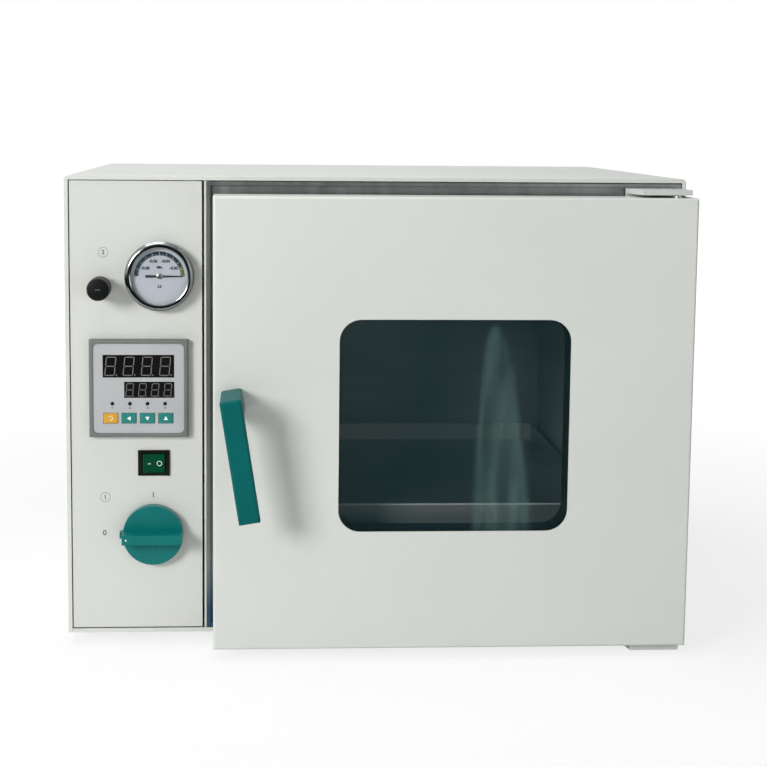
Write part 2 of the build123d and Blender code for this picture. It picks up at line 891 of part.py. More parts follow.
striker_width = 16
striker_height = 36
striker_sheet = 1.2
stud_x = handle_x - latch_radius * sin(latch_turn)
stud_z = handle_z - latch_radius * cos(latch_turn)

with BuildPart() as latch_striker:
    with BuildSketch(facing(frame_recess, stud_x, stud_z)):
        Rectangle(striker_width, striker_height)
    extrude(amount=striker_sheet)
    with BuildSketch(facing(frame_recess, stud_x, stud_z)):
        Circle(stud_radius)
    extrude(amount=frame_recess - stud_face)
    with BuildSketch(facing(stud_face, stud_x, stud_z)):
        RegularPolygon(stud_head_radius, 6)
    extrude(amount=stud_head_thickness)
save(latch_striker, "latch_striker")

# ---------------------------------------------------------------- dial vacuum gauge

gauge_face = panel_recess - gauge_ring_height
lens_thickness = 1.5
lens_recess = 1.5
lens_gap = 3
lens_front = gauge_face + lens_recess
dial_front = lens_front + lens_thickness + lens_gap
dial_thickness = 1
ring_wall = gauge_ring_radius - gauge_case_radius

with BuildPart() as gauge_bezel:
    with BuildSketch(facing(panel_recess, gauge_x, gauge_z)):
        RegularPolygon(gauge_ring_radius, gauge_ring_sides)
    extrude(amount=gauge_ring_height)
    chamfer(edges().group_by(Axis.Y)[0], ring_wall / 2)
    with BuildSketch(facing(panel_recess, gauge_x, gauge_z)):
        Circle(gauge_case_radius)
    extrude(amount=gauge_ring_height, mode=Mode.SUBTRACT)
save(gauge_bezel, "gauge_bezel")

# The round plates inside the ring show only their middles, so their rims are many-sided
gauge_sides = 48
gauge_rear = panel_back + gauge_case_depth

with BuildPart() as gauge_lens:
    with BuildSketch(facing(lens_front + lens_thickness, gauge_x, gauge_z)):
        RegularPolygon(gauge_case_radius, gauge_sides)
    extrude(amount=lens_thickness)
save(gauge_lens, "gauge_lens")

with BuildPart() as gauge_dial:
    with BuildSketch(facing(dial_front + dial_thickness, gauge_x, gauge_z)):
        RegularPolygon(gauge_case_radius, gauge_sides)
    extrude(amount=dial_thickness)
save(gauge_dial, "gauge_dial")

with BuildPart() as gauge_case:
    with BuildSketch(facing(gauge_rear, gauge_x, gauge_z)):
        RegularPolygon(gauge_case_radius, gauge_sides)
    extrude(amount=gauge_rear - dial_front - dial_thickness)
    with BuildSketch(facing(gauge_rear + gauge_stub, gauge_x, gauge_z)):
        RegularPolygon(gauge_stub_radius, 6)
    extrude(amount=gauge_stub)
save(gauge_case, "gauge_case")

needle_sheet = 0.5
needle_float = 0.6
needle_hub = 2.6
needle_root = 3.2
needle_tip = 0.6

with BuildPart() as gauge_needle:
    with BuildSketch(facing(dial_front - needle_float, gauge_x, gauge_z)):
        with BuildLine():
            Polyline(
                (0, needle_root / 2),
                (needle_length, needle_tip / 2),
                (needle_length, -needle_tip / 2),
                (0, -needle_root / 2),
                close=True,
            )
        make_face()
        with Locations((-needle_tail / 2, 0)):
            Rectangle(needle_tail, needle_root)
    extrude(amount=needle_sheet)
    with BuildSketch(facing(dial_front - slip, gauge_x, gauge_z)):
        RegularPolygon(needle_hub, 12)
    extrude(amount=needle_sheet + needle_float)
save(gauge_needle, "gauge_needle")

# ---------------------------------------------------------------- temperature controller

controller_front = panel_recess - controller_proud
facia_front = controller_front + facia_recess
facia_back = facia_front + facia_thickness

with BuildPart() as controller_bezel:
    with BuildSketch(facing(panel_recess, controller_x, controller_z)):
        Rectangle(controller_size, controller_size)
    extrude(amount=controller_proud)
    fillet(edges().group_by(Axis.Y)[0], bezel_round)
    with BuildSketch(facing(facia_back, controller_x, controller_z)):
        RectangleRounded(facia_size, facia_size, facia_corner)
    extrude(amount=controller_proud, mode=Mode.SUBTRACT)
    with BuildSketch(facing(panel_recess, controller_x, controller_z)):
        Rectangle(facia_size - 2 * facia_ledge, facia_size - 2 * facia_ledge)
    extrude(amount=controller_proud, mode=Mode.SUBTRACT)
save(controller_bezel, "controller_bezel")

with BuildPart() as controller_case:
    with BuildSketch(facing(panel_recess + controller_case_depth, controller_x, controller_z)):
        Rectangle(controller_case_size, controller_case_size)
    extrude(amount=controller_case_depth)
save(controller_case, "controller_case")

display_depth = 2
displays = (
    ("display_upper", 0, 22, 69, 22.1),
    ("display_lower", 10.4, -1.2, 48.5, 15.7),
)
key_labels = ("key_set", "key_shift", "key_down", "key_up")
middle = (len(key_labels) - 1) / 2
key_places = [((index - middle) * key_pitch + key_lead, key_row) for index in range(len(key_labels))]
lamp_places = [((index - middle) * lamp_pitch, lamp_row) for index in range(len(key_labels))]

with BuildPart() as controller_facia:
    with BuildSketch(facing(facia_back, controller_x, controller_z)):
        RectangleRounded(facia_size, facia_size, facia_corner)
        with Locations(*key_places):
            Rectangle(key_width + 2 * key_clearance, key_height + 2 * key_clearance, mode=Mode.SUBTRACT)
    extrude(amount=facia_thickness)
    for name, x, z, width, height in displays:
        with BuildSketch(facing(facia_front + display_depth, controller_x, controller_z)):
            with Locations((x, z)):
                Rectangle(width, height)
        extrude(amount=display_depth, mode=Mode.SUBTRACT)
save(controller_facia, "controller_facia")

for name, x, z, width, height in displays:
    with BuildPart() as display_window:
        with BuildSketch(facing(facia_front + display_depth, controller_x, controller_z)):
            with Locations((x, z)):
                Rectangle(width, height)
        extrude(amount=display_depth)
    save(display_window, name)

with BuildPart() as indicator_lamps:
    with BuildSketch(facing(facia_front, controller_x, controller_z)):
        with Locations(*lamp_places):
            RegularPolygon(lamp_radius, 12)
    extrude(amount=lamp_height)
save(indicator_lamps, "indicator_lamps")

for label, place in zip(key_labels, key_places):
    with BuildPart() as key_cap:
        with BuildSketch(facing(facia_back, controller_x, controller_z)):
            with Locations(place):
                Rectangle(key_width, key_height)
        extrude(amount=facia_thickness + key_proud)
    save(key_cap, label)

# ---------------------------------------------------------------- power switch

switch_front = panel_recess - switch_proud
rocker_opening = 2 * (rocker_radius + rocker_clearance)
rocker_depth = switch_front + rocker_sink

with BuildPart() as switch_housing:
    with BuildSketch(facing(panel_recess, switch_x, switch_z)):
        Rectangle(switch_width, switch_tall)
    extrude(amount=switch_proud)
    fillet(edges().group_by(Axis.Y)[0], switch_round)
    with BuildSketch(facing(panel_recess + switch_body_depth, switch_x, switch_z)):
        Rectangle(switch_width - 2 * switch_lap, switch_tall - 2 * switch_lap)
    extrude(amount=switch_body_depth)
    with BuildSketch(facing(rocker_depth + rocker_radius + rocker_back_gap, switch_x, switch_z)):
        Rectangle(rocker_opening, rocker_height + 2 * rocker_clearance)
    extrude(amount=2 * rocker_radius, mode=Mode.SUBTRACT)
save(switch_housing, "switch_housing")

swing = radians(rocker_swing)
notch = radians(rocker_notch)
tip_angle = radians(rocker_tip)

with BuildPart() as rocker:
    with BuildSketch(Plane.XY.offset(switch_z - rocker_height / 2)):
        rocker_centre = (switch_x, front_y + rocker_depth)
        with Locations(rocker_centre):
            Circle(rocker_radius)
        tip = rocker_radius * sin(tip_angle)
        valley = tip - rocker_radius * cos(tip_angle) * sin(notch)
        with BuildLine():
            ridge = [
                (-1.5 * rocker_radius, tip + 0.5 * rocker_radius * sin(notch)),
                (0, valley),
                (1.5 * rocker_radius, tip + 0.5 * rocker_radius * sin(notch)),
                (1.5 * rocker_radius, 2 * rocker_radius),
                (-1.5 * rocker_radius, 2 * rocker_radius),
            ]
            turned = [
                (
                    rocker_centre[0] + x * cos(swing) + up * sin(swing),
                    rocker_centre[1] - up * cos(swing) + x * sin(swing),
                )
                for x, up in ridge
            ]
            Polyline(*turned, close=True)
        make_face(mode=Mode.SUBTRACT)
        with Locations((switch_x, front_y + rocker_depth + rocker_radius)):
            Rectangle(2 * rocker_radius, 1.2 * rocker_radius, mode=Mode.SUBTRACT)
    extrude(amount=rocker_height)
save(rocker, "rocker")

# ---------------------------------------------------------------- valves

valve_back = panel_back + valve_body_size
stem_clearance = 0.05

with BuildPart() as vacuum_valve:
    with BuildSketch(facing(valve_back, valve_x, valve_z)):
        Rectangle(valve_body_size, valve_body_size)
        Circle(stem_radius + stem_clearance, mode=Mode.SUBTRACT)
    extrude(amount=valve_body_size)
    with BuildSketch(facing(valve_back, valve_x, valve_z)):
        Rectangle(valve_body_size, valve_body_size)
    extrude(amount=valve_body_size / 3)
save(vacuum_valve, "vacuum_valve")

knob_back = panel_recess - knob_float
knob_face = knob_back - knob_disc
grip_front = knob_face - grip_height

with BuildPart() as valve_stem:
    with BuildSketch(facing(valve_back - valve_body_size / 3 - slip, valve_x, valve_z)):
        Circle(stem_radius)
    extrude(amount=valve_back - valve_body_size / 3 - slip - knob_back)
save(valve_stem, "valve_stem")

with BuildPart() as vacuum_knob:
    with BuildSketch(facing(knob_back, valve_x, valve_z)):
        Circle(knob_radius)
        with Locations((-knob_radius, 0)):
            Rectangle(pointer_size, pointer_size)
    extrude(amount=knob_disc)
    with BuildSketch(facing(knob_face, valve_x, valve_z)):
        Rectangle(2 * knob_radius, grip_width)
    extrude(amount=grip_height, taper=grip_taper)
save(vacuum_knob, "vacuum_knob")

vent_body_radius = 9
vent_body_length = 24

with BuildPart() as vent_valve:
    with BuildSketch(facing(panel_back + vent_body_length, vent_x, vent_z)):
        RegularPolygon(vent_body_radius, 6)
    extrude(amount=vent_body_length)
    with BuildSketch(facing(panel_back + vent_body_length / 2, vent_x, vent_z)):
        Circle(vent_stem_radius + stem_clearance)
    extrude(amount=vent_body_length / 2, mode=Mode.SUBTRACT)
save(vent_valve, "vent_valve")

with BuildPart() as vent_knob:
    with BuildSketch(facing(panel_back + vent_body_length / 2 - slip, vent_x, vent_z)):
        Circle(vent_stem_radius)
    extrude(amount=vent_body_length / 2 + panel_sheet + vent_neck_length)
    with BuildSketch(facing(panel_recess - slip, vent_x, vent_z)):
        RegularPolygon(vent_neck_radius, vent_knob_sides)
    extrude(amount=vent_neck_length)
    with BuildSketch(facing(panel_recess - vent_neck_length, vent_x, vent_z)):
        RegularPolygon(vent_knob_radius, vent_knob_sides)
    extrude(amount=vent_knob_length)
    chamfer(edges().group_by(Axis.Y)[0], vent_chamfer)
save(vent_knob, "vent_knob")

# ---------------------------------------------------------------- pipes

elbow_wall = 4
vacuum_port_y = front_y + vacuum_port_depth
vent_port_y = front_y + vent_port_depth
valve_outlet_y = front_y + panel_back + valve_body_size / 2
gauge_stub_y = front_y + gauge_rear + gauge_stub
vacuum_routes = (
    ((chamber_left, vacuum_port_y, valve_z), (valve_x, vacuum_port_y, valve_z), (valve_x, front_y + valve_back, valve_z)),
    (
        (valve_x, valve_outlet_y, valve_z + valve_body_size / 2),
        (valve_x, valve_outlet_y, nozzle_z),
        (valve_x, front_y + rear_depth, nozzle_z),
    ),
)
air_routes = (
    ((gauge_x, gauge_stub_y, gauge_z), (gauge_x, vent_port_y, gauge_z), (gauge_x, vent_port_y, vent_z)),
    (
        (vent_x, front_y + panel_back + vent_body_length, vent_z),
        (vent_x, vent_port_y, vent_z),
        (chamber_left, vent_port_y, vent_z),
    ),
)

# Straight tubes from point to point, joined by a square elbow block at each corner
for label, routes, radius in (
    ("vacuum_lines", vacuum_routes, vacuum_pipe_radius),
    ("air_lines", air_routes, pipe_radius),
):
    with BuildPart() as pipe_set:
        for route in routes:
            for start, end in zip(route, route[1:]):
                with BuildSketch(Plane(origin=start, z_dir=Vector(end) - Vector(start))):
                    RegularPolygon(radius, pipe_sides)
                extrude(amount=(Vector(end) - Vector(start)).length)
            with Locations(*route[1:-1]):
                Box(*[2 * radius + elbow_wall] * 3)
    save(pipe_set, label)

# ---------------------------------------------------------------- rear fittings and electrics

nut_height = 4
nut_radius = 11

with BuildPart() as vacuum_nozzle:
    with BuildSketch(facing(case_depth + nozzle_reach, valve_x, nozzle_z)):
        Circle(nozzle_radius)
    extrude(amount=nozzle_reach + sheet)
    with BuildSketch(facing(case_depth + nut_height, valve_x, nozzle_z)):
        RegularPolygon(nut_radius, 6)
    extrude(amount=nut_height)
    with BuildSketch(facing(case_depth + nozzle_reach, valve_x, nozzle_z)):
        RegularPolygon(nozzle_bore, pipe_sides)
    extrude(amount=nozzle_reach + sheet, mode=Mode.SUBTRACT)
save(vacuum_nozzle, "vacuum_nozzle")

gland_x, gland_z = panel_x + gland_offset, base + gland_height

with BuildPart() as cable_gland:
    with BuildSketch(facing(case_depth + nut_height, gland_x, gland_z)):
        RegularPolygon(gland_radius + gland_nut_lap, 6)
    extrude(amount=nut_height)
    with BuildSketch(facing(case_depth + gland_proud, gland_x, gland_z)):
        RegularPolygon(gland_radius, 12)
    extrude(amount=gland_length)
    with BuildSketch(facing(case_depth + gland_proud, gland_x, gland_z)):
        Circle(gland_bore)
    extrude(amount=gland_length, mode=Mode.SUBTRACT)
save(cable_gland, "cable_gland")

fuse_x = panel_x + fuse_offset

with BuildPart() as fuse_holder:
    with BuildSketch(facing(case_depth + fuse_cap, fuse_x, gland_z)):
        RegularPolygon(fuse_radius, 12)
    extrude(amount=fuse_cap)
    with BuildSketch(facing(case_depth, fuse_x, gland_z)):
        Rectangle(fuse_body, fuse_body)
    extrude(amount=fuse_length)
save(fuse_holder, "fuse_holder")

# Relay and terminals on the base pan, behind the panel
relay_depth = 260
relay_width = 45
relay_length = 58
relay_height = 28
terminal_gap = 40
terminal_width = 72
terminal_length = 22
terminal_height = 18
terminal_slot = 2
terminal_slots = 5
terminal_slot_height = 8
terminal_pitch = 12
terminal_depth = relay_depth + relay_length / 2 + terminal_gap + terminal_length / 2

with BuildPart() as solid_state_relay:
    with BuildSketch(Plane.XY.offset(base + sheet)):
        with Locations((panel_x, front_y + relay_depth)):
            Rectangle(relay_width, relay_length)
    extrude(amount=relay_height)
save(solid_state_relay, "solid_state_relay")

with BuildPart() as terminal_block:
    with BuildSketch(Plane.XY.offset(base + sheet)):
        with Locations((panel_x, front_y + terminal_depth)):
            Rectangle(terminal_width, terminal_length)
    extrude(amount=terminal_height)
    with BuildSketch(Plane.XY.offset(base + sheet + terminal_height - terminal_slot_height)):
        with Locations((panel_x, front_y + terminal_depth)):
            with GridLocations(terminal_pitch, 0, terminal_slots, 1):
                Rectangle(terminal_slot, terminal_length)
    extrude(amount=terminal_slot_height, mode=Mode.SUBTRACT)
save(terminal_block, "terminal_block")
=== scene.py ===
import json
from math import cos, pi, radians, sin

import bmesh
import bpy
from mathutils import Matrix, Vector
from mathutils.bvhtree import BVHTree


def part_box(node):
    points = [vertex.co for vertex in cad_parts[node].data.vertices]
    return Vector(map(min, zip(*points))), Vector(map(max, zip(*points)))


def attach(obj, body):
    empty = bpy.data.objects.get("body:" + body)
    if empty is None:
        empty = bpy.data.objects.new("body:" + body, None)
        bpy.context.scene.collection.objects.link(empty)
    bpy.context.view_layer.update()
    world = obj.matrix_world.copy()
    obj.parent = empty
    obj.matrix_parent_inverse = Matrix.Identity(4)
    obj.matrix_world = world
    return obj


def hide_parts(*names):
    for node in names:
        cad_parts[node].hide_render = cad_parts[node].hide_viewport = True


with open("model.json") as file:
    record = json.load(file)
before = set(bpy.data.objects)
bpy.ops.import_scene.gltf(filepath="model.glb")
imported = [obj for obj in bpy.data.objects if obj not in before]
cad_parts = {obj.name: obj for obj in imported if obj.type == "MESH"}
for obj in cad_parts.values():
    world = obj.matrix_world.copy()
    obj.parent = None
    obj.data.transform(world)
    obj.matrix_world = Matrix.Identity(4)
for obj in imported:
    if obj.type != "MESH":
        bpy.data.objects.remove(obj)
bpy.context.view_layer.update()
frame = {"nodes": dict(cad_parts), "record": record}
nodes = frame["nodes"]
mm = 0.001
print("frame loaded:", len(nodes), "nodes")


# Node trees, written with Python's operators
class Wire:  # a socket that the operators work on
    def __init__(self, graph, socket):
        self.graph, self.socket = graph, socket

    def math(self, operation, *values):
        return self.graph.node("ShaderNodeMath", {"operation": operation}, dict(enumerate(values)))

    def __add__(self, other):
        return self.math("ADD", self, other)

    def __sub__(self, other):
        return self.math("SUBTRACT", self, other)

    def __rsub__(self, other):
        return self.math("SUBTRACT", other, self)

    def __mul__(self, other):
        return self.math("MULTIPLY", self, other)

    def __pow__(self, other):
        return self.math("POWER", self, other)

    def __lt__(self, other):
        return self.math("LESS_THAN", self, other)

    def __gt__(self, other):
        return self.math("GREATER_THAN", self, other)

    __radd__ = __add__
    __rmul__ = __mul__


class Graph:  # one node tree: a material, the world, or Geometry Nodes
    def __init__(self, tree):
        self.tree = tree
        self.tree.nodes.clear()

    def node(self, kind, settings=None, sockets=None, output=0):
        made = self.tree.nodes.new(kind)
        for setting, value in (settings or {}).items():
            setattr(made, setting, value)
        for key, value in (sockets or {}).items():
            if isinstance(value, Wire):
                self.tree.links.new(value.socket, made.inputs[key])
            else:
                made.inputs[key].default_value = value
        return Wire(self, made.outputs[output]) if len(made.outputs) else None

    def here(self, coordinates="Object"):
        return self.node("ShaderNodeTexCoord", output=coordinates)

    def axis(self, letter, coordinates="Object"):
        return self.node("ShaderNodeSeparateXYZ", {}, {0: self.here(coordinates)}, output=letter)

    def ray(self, kind):
        return self.node("ShaderNodeLightPath", output=f"Is {kind} Ray")

    def noise(self, scale, stretch=(1, 1, 1), detail=2, roughness=0.5):
        place = self.node("ShaderNodeMapping", {}, {"Vector": self.here(), "Scale": stretch})
        return self.node("ShaderNodeTexNoise", {}, {
            "Vector": place, "Scale": scale, "Detail": detail, "Roughness": roughness})

    def between(self, wire, low, high):  # 0 to 1 as the wire goes from low to high
        return self.node("ShaderNodeMapRange", {"clamp": True}, {
            "Value": wire, "From Min": low, "From Max": high})

    def blend(self, share, first, second):
        return self.node("ShaderNodeMix", {"data_type": "RGBA"}, {
            0: share, 6: first if isinstance(first, Wire) else (*first, 1),
            7: second if isinstance(second, Wire) else (*second, 1)}, output=2)

    def bump(self, height, distance, strength):
        return self.node("ShaderNodeBump", {}, {
            "Height": height, "Distance": distance, "Strength": strength})


def makeFinish(name, paint):  # paint(graph) gives the shader's sockets
    material = bpy.data.materials.new(name)
    material.use_nodes = True
    graph = Graph(material.node_tree)
    shader = graph.node("ShaderNodeBsdfPrincipled", {}, paint(graph))
    graph.node("ShaderNodeOutputMaterial", {}, {"Surface": shader})
    return material


def powderCoat(name, values):
    def paint(graph):
        peel = graph.noise(values["peelScale"])
        cloud = graph.noise(values["cloudScale"], detail=3)
        speck = graph.noise(values["speckScale"], detail=1)
        tone = graph.blend(graph.between(cloud, *values["cloudRange"]), values["colour"], values["shade"])
        share = graph.between(speck, *values["speckRange"]) * values["speckShare"]
        return {
            "Base Color": graph.blend(share, tone, values["speck"]),
            "Roughness": values["roughness"] + values["roughCloud"] * cloud,
            "Specular IOR Level": values["specular"],
            "Normal": graph.bump(peel, values["peelDepth"], values["bump"]),
        }
    return makeFinish(name, paint)


def brushedMetal(name, values):
    def paint(graph):
        lines = graph.noise(values["lineScale"], stretch=values["stretch"], detail=4, roughness=0.7)
        cloud = graph.noise(values["cloudScale"], detail=3)
        tone = graph.blend(graph.between(cloud, *values["cloudRange"]), values["colour"], values["shade"])
        share = graph.between(lines, *values["lineRange"]) * values["lineShare"]
        tone = graph.blend(share, tone, values["streak"])
        if "film" in values:  # bluer and darker towards the bottom: a painted reflection
            film = values["film"]
            fade = graph.between(graph.axis("Z"), film["top"], film["bottom"])
            tone = graph.blend(fade, tone, film["colour"])
        rough = values["roughness"] + values["roughLines"] * (lines - 0.5)
        return {
            "Base Color": tone,
            "Metallic": values["metallic"],
            "Roughness": rough + values["roughCloud"] * cloud,
            "Normal": graph.bump(lines, values["depth"], values["bump"]),
        }
    return makeFinish(name, paint)


def mouldedPlastic(name, values):
    def paint(graph):
        grain = graph.noise(values["grainScale"], detail=3)
        cloud = graph.noise(values["cloudScale"])
        share = graph.between(cloud, *values["cloudRange"])
        return {
            "Base Color": graph.blend(share, values["colour"], values["shade"]),
            "Roughness": values["roughness"] + values["roughGrain"] * (grain - 0.5),
            "Specular IOR Level": values["specular"],
            "Normal": graph.bump(grain, values["grainDepth"], values["bump"]),
        }
    return makeFinish(name, paint)


def dryTrickle(graph, values, tone, alpha):  # a painted reflection: a pale streak that starts at a point on the glass and widens downwards
    fall = graph.between(graph.axis("Z"), values["top"], values["bottom"])
    wobble = graph.noise(values["wanderScale"], stretch=values["wanderStretch"], detail=3)
    middle = values["middle"] + values["lean"] * fall
    aside = graph.axis("X") + values["wander"] * (wobble - 0.5) - middle
    aside = aside.math("ABSOLUTE", aside)
    width = values["halfWidth"] * fall ** values["spread"]
    mask = graph.between(aside, width + values["soft"], width - values["soft"])
    cloud = graph.noise(values["cloudScale"], stretch=values["cloudStretch"], detail=5, roughness=0.6)
    body = values["thinnest"] + (1 - values["thinnest"]) * graph.between(cloud, *values["cloudRange"])
    share = mask * graph.between(fall, 0.0, values["fadeIn"]) * body
    return graph.blend(share, tone, values["colour"]), alpha + values["cover"] * share


def tintedGlass(name, values):
    def paint(graph):
        film = graph.noise(values["filmScale"], stretch=values["filmStretch"], detail=4, roughness=0.6)
        tone = graph.blend(film, values["colour"], values["shade"])
        alpha = values["alpha"] + values["alphaFilm"] * (film - 0.5)
        # the pale streak over the window glass is a painted reflection
        if "trickle" in values:
            tone, alpha = dryTrickle(graph, values["trickle"], tone, alpha)
        return {
            "Base Color": tone,
            "Roughness": values["roughness"] + values["roughFilm"] * film,
            "Alpha": alpha,
            "IOR": values["ior"],
            "Coat Weight": values["coat"],
            "Coat Roughness": values["coatRoughness"],
        }
    return makeFinish(name, paint)


# What the finishes of a group share
coatLook = {
    "peelScale": 900, "peelDepth": 0.00004, "bump": 0.35, "cloudScale": 6, "cloudRange": (0.3, 0.7),
    "roughCloud": 0.10, "speckScale": 2600, "speckRange": (0.70, 0.80), "speckShare": 0.25,
    "roughness": 0.36, "specular": 0.5,
}
steelLook = {
    "lineScale": 90, "lineRange": (0.35, 0.75), "lineShare": 0.45, "roughLines": 0.22, "cloudScale": 12,
    "cloudRange": (0.35, 0.65), "roughCloud": 0.08, "metallic": 1.0, "depth": 0.00002, "bump": 0.3,
}
plasticLook = {
    "grainScale": 1500, "grainDepth": 0.00002, "bump": 0.3, "roughGrain": 0.16, "cloudScale": 25,
    "cloudRange": (0.35, 0.65), "roughness": 0.38, "specular": 0.5,
}
inkLook = {
    **plasticLook, "grainScale": 2500, "grainDepth": 0.00001, "cloudScale": 60,
    "roughness": 0.55, "specular": 0.12,
}
glassLook = {
    "filmStretch": (1, 1, 0.35), "alphaFilm": 0.06, "roughness": 0.02, "roughFilm": 0.05, "ior": 1.5,
    "coatRoughness": 0.02,
}

# Every finish's own values, which go over the look of its group
coats = {
    "bodyPaint": {"colour": (0.665, 0.680, 0.655), "shade": (0.645, 0.662, 0.635),
        "speck": (0.57, 0.58, 0.56)},
    "panelPaint": {"colour": (0.650, 0.655, 0.635), "shade": (0.630, 0.640, 0.618),
        "speck": (0.56, 0.56, 0.54)},
    "hingePaint": {"colour": (0.57, 0.60, 0.58), "shade": (0.53, 0.56, 0.54),
        "speck": (0.47, 0.50, 0.48), "roughness": 0.30},
}
steels = {
    "frameSteel": {"stretch": (1, 1, 0.03), "colour": (0.31, 0.33, 0.32), "shade": (0.24, 0.26, 0.26),
        "streak": (0.48, 0.49, 0.49), "roughness": 0.34,
        # the frame's steel fades bluer and darker towards its bottom: a painted reflection
        "film": {"top": 0.090, "bottom": 0.035, "colour": (0.055, 0.105, 0.175)}},
    "chamberSteel": {"stretch": (0.05, 0.05, 1), "colour": (0.50, 0.53, 0.53),
        "shade": (0.44, 0.47, 0.48), "streak": (0.62, 0.64, 0.64), "roughness": 0.34, "metallic": 0.70},
    "shelfSteel": {"stretch": (0.05, 0.05, 1), "colour": (0.50, 0.53, 0.53), "shade": (0.44, 0.47, 0.47),
        "streak": (0.60, 0.62, 0.62), "roughness": 0.34, "metallic": 0.95},
    "polishedSteel": {"stretch": (0.05, 1, 1), "colour": (0.62, 0.65, 0.64), "shade": (0.56, 0.59, 0.58),
        "streak": (0.70, 0.72, 0.71), "roughness": 0.36, "metallic": 0.80},
    # a near-white, barely metallic steel: a painted highlight on the shelf's hems and back flange
    "edgeSteel": {"stretch": (0.05, 1, 1), "colour": (0.90, 0.92, 0.90), "shade": (0.84, 0.87, 0.85),
        "streak": (0.95, 0.96, 0.95), "roughness": 0.30, "metallic": 0.15},
    "tunnelSteel": {"stretch": (1, 1, 0.1), "colour": (0.030, 0.036, 0.038),
        "shade": (0.022, 0.028, 0.030), "streak": (0.05, 0.055, 0.06), "roughness": 0.45},
    "partSteel": {"stretch": (1, 0.1, 1), "colour": (0.52, 0.53, 0.52), "shade": (0.46, 0.47, 0.47),
        "streak": (0.66, 0.66, 0.65), "roughness": 0.28},
    "chrome": {"stretch": (1, 1, 1), "lineScale": 30, "colour": (0.29, 0.31, 0.30),
        "shade": (0.24, 0.26, 0.25), "streak": (0.37, 0.38, 0.37), "roughness": 0.12, "depth": 0.000002},
    "brass": {"stretch": (1, 0.2, 1), "colour": (0.66, 0.48, 0.22), "shade": (0.58, 0.40, 0.18),
        "streak": (0.76, 0.60, 0.32), "roughness": 0.30},
    "copper": {"stretch": (0.3, 0.3, 0.3), "colour": (0.70, 0.36, 0.22), "shade": (0.58, 0.28, 0.18),
        "streak": (0.80, 0.50, 0.34), "roughness": 0.32},
}
plastics = {
    "knobPlastic": {"colour": (0.0005, 0.165, 0.158), "shade": (0.0004, 0.148, 0.142), "roughness": 0.28,
        "specular": 0.30},
    "leverPlastic": {"colour": (0.0004, 0.118, 0.116), "shade": (0.0003, 0.106, 0.105),
        "roughness": 0.42, "specular": 0.10},
    "blackPlastic": {"colour": (0.006, 0.007, 0.007), "shade": (0.009, 0.010, 0.010), "roughness": 0.40,
        "specular": 0.12},
    "bezelPlastic": {"colour": (0.172, 0.185, 0.180), "shade": (0.155, 0.168, 0.163), "roughness": 0.45,
        "specular": 0.35},
    "faciaFilm": {"grainScale": 4000, "colour": (0.465, 0.474, 0.494), "shade": (0.435, 0.445, 0.468),
        "roughness": 0.45, "specular": 0.35},
    "displayFilm": {"colour": (0.006, 0.006, 0.007), "shade": (0.009, 0.008, 0.008), "roughness": 0.15},
    "segmentGrey": {"colour": (0.175, 0.165, 0.155), "shade": (0.150, 0.142, 0.135), "roughness": 0.40},
    "lampLens": {"colour": (0.010, 0.008, 0.012), "shade": (0.016, 0.012, 0.014), "roughness": 0.12},
    "orangeKey": {"colour": (0.680, 0.370, 0.040), "shade": (0.620, 0.330, 0.032), "roughness": 0.36},
    "tealKey": {"colour": (0.016, 0.240, 0.215), "shade": (0.013, 0.210, 0.190), "roughness": 0.36},
    "rockerPlastic": {"colour": (0.002, 0.062, 0.030), "shade": (0.002, 0.052, 0.025), "roughness": 0.34,
        "specular": 0.06},
    "dialPaint": {"grainScale": 900, "colour": (0.510, 0.540, 0.605), "shade": (0.480, 0.512, 0.576),
        "roughness": 0.55},
    "rubber": {"grainScale": 700, "grainDepth": 0.00005, "colour": (0.012, 0.012, 0.012),
        "shade": (0.022, 0.022, 0.022), "roughness": 0.68},
    "silicone": {"grainScale": 500, "grainDepth": 0.00004, "colour": (0.56, 0.52, 0.46),
        "shade": (0.50, 0.47, 0.42), "roughness": 0.55},
    "heaterMat": {"grainScale": 300, "grainDepth": 0.0002, "colour": (0.36, 0.10, 0.04),
        "shade": (0.28, 0.08, 0.04), "roughness": 0.6},
    "mineralWool": {"grainScale": 220, "grainDepth": 0.0012, "colour": (0.62, 0.58, 0.42),
        "shade": (0.50, 0.46, 0.32), "roughness": 0.85, "specular": 0.2},
}
inks = {
    "whiteInk": {"colour": (0.92, 0.96, 0.93), "shade": (0.86, 0.91, 0.88)},
    "creamInk": {"colour": (0.85, 0.70, 0.38), "shade": (0.80, 0.64, 0.34)},
    "greyInk": {"colour": (0.12, 0.13, 0.13), "shade": (0.17, 0.18, 0.18)},
    # dark print, and also painted shade in the screw heads' cross recess
    "darkInk": {"colour": (0.018, 0.030, 0.036), "shade": (0.026, 0.040, 0.046)},
    "bandEndInk": {"colour": (0.150, 0.170, 0.060), "shade": (0.120, 0.140, 0.050)},
    "bandInk": {"colour": (0.012, 0.032, 0.040), "shade": (0.020, 0.045, 0.054)},
}
glasses = {
    "windowGlass": {"filmScale": 9, "colour": (0.012, 0.046, 0.058), "shade": (0.020, 0.062, 0.072),
        # the pale streak on the window is a painted reflection
        "alpha": 0.15, "coat": 0.3, "trickle": {
            "top": 0.328, "bottom": 0.140, "middle": 0.110, "lean": 0.009, "halfWidth": 0.029,
            "spread": 0.52, "soft": 0.003, "fadeIn": 0.03, "colour": (0.12, 0.225, 0.215), "cover": 0.14,
            "wander": 0.008, "wanderScale": 60, "wanderStretch": (1, 1, 0.25), "thinnest": 0.22,
            "cloudScale": 42, "cloudStretch": (1.8, 1, 0.35), "cloudRange": (0.34, 0.66)}},
    "doorGlass": {"filmScale": 12, "colour": (0.010, 0.040, 0.044), "shade": (0.016, 0.052, 0.056),
        "alpha": 0.07, "coat": 0.2},
    "clearGlass": {"filmScale": 14, "colour": (0.10, 0.14, 0.14), "shade": (0.14, 0.18, 0.18),
        "alpha": 0.04, "coat": 0.3},
}
finishes = {}
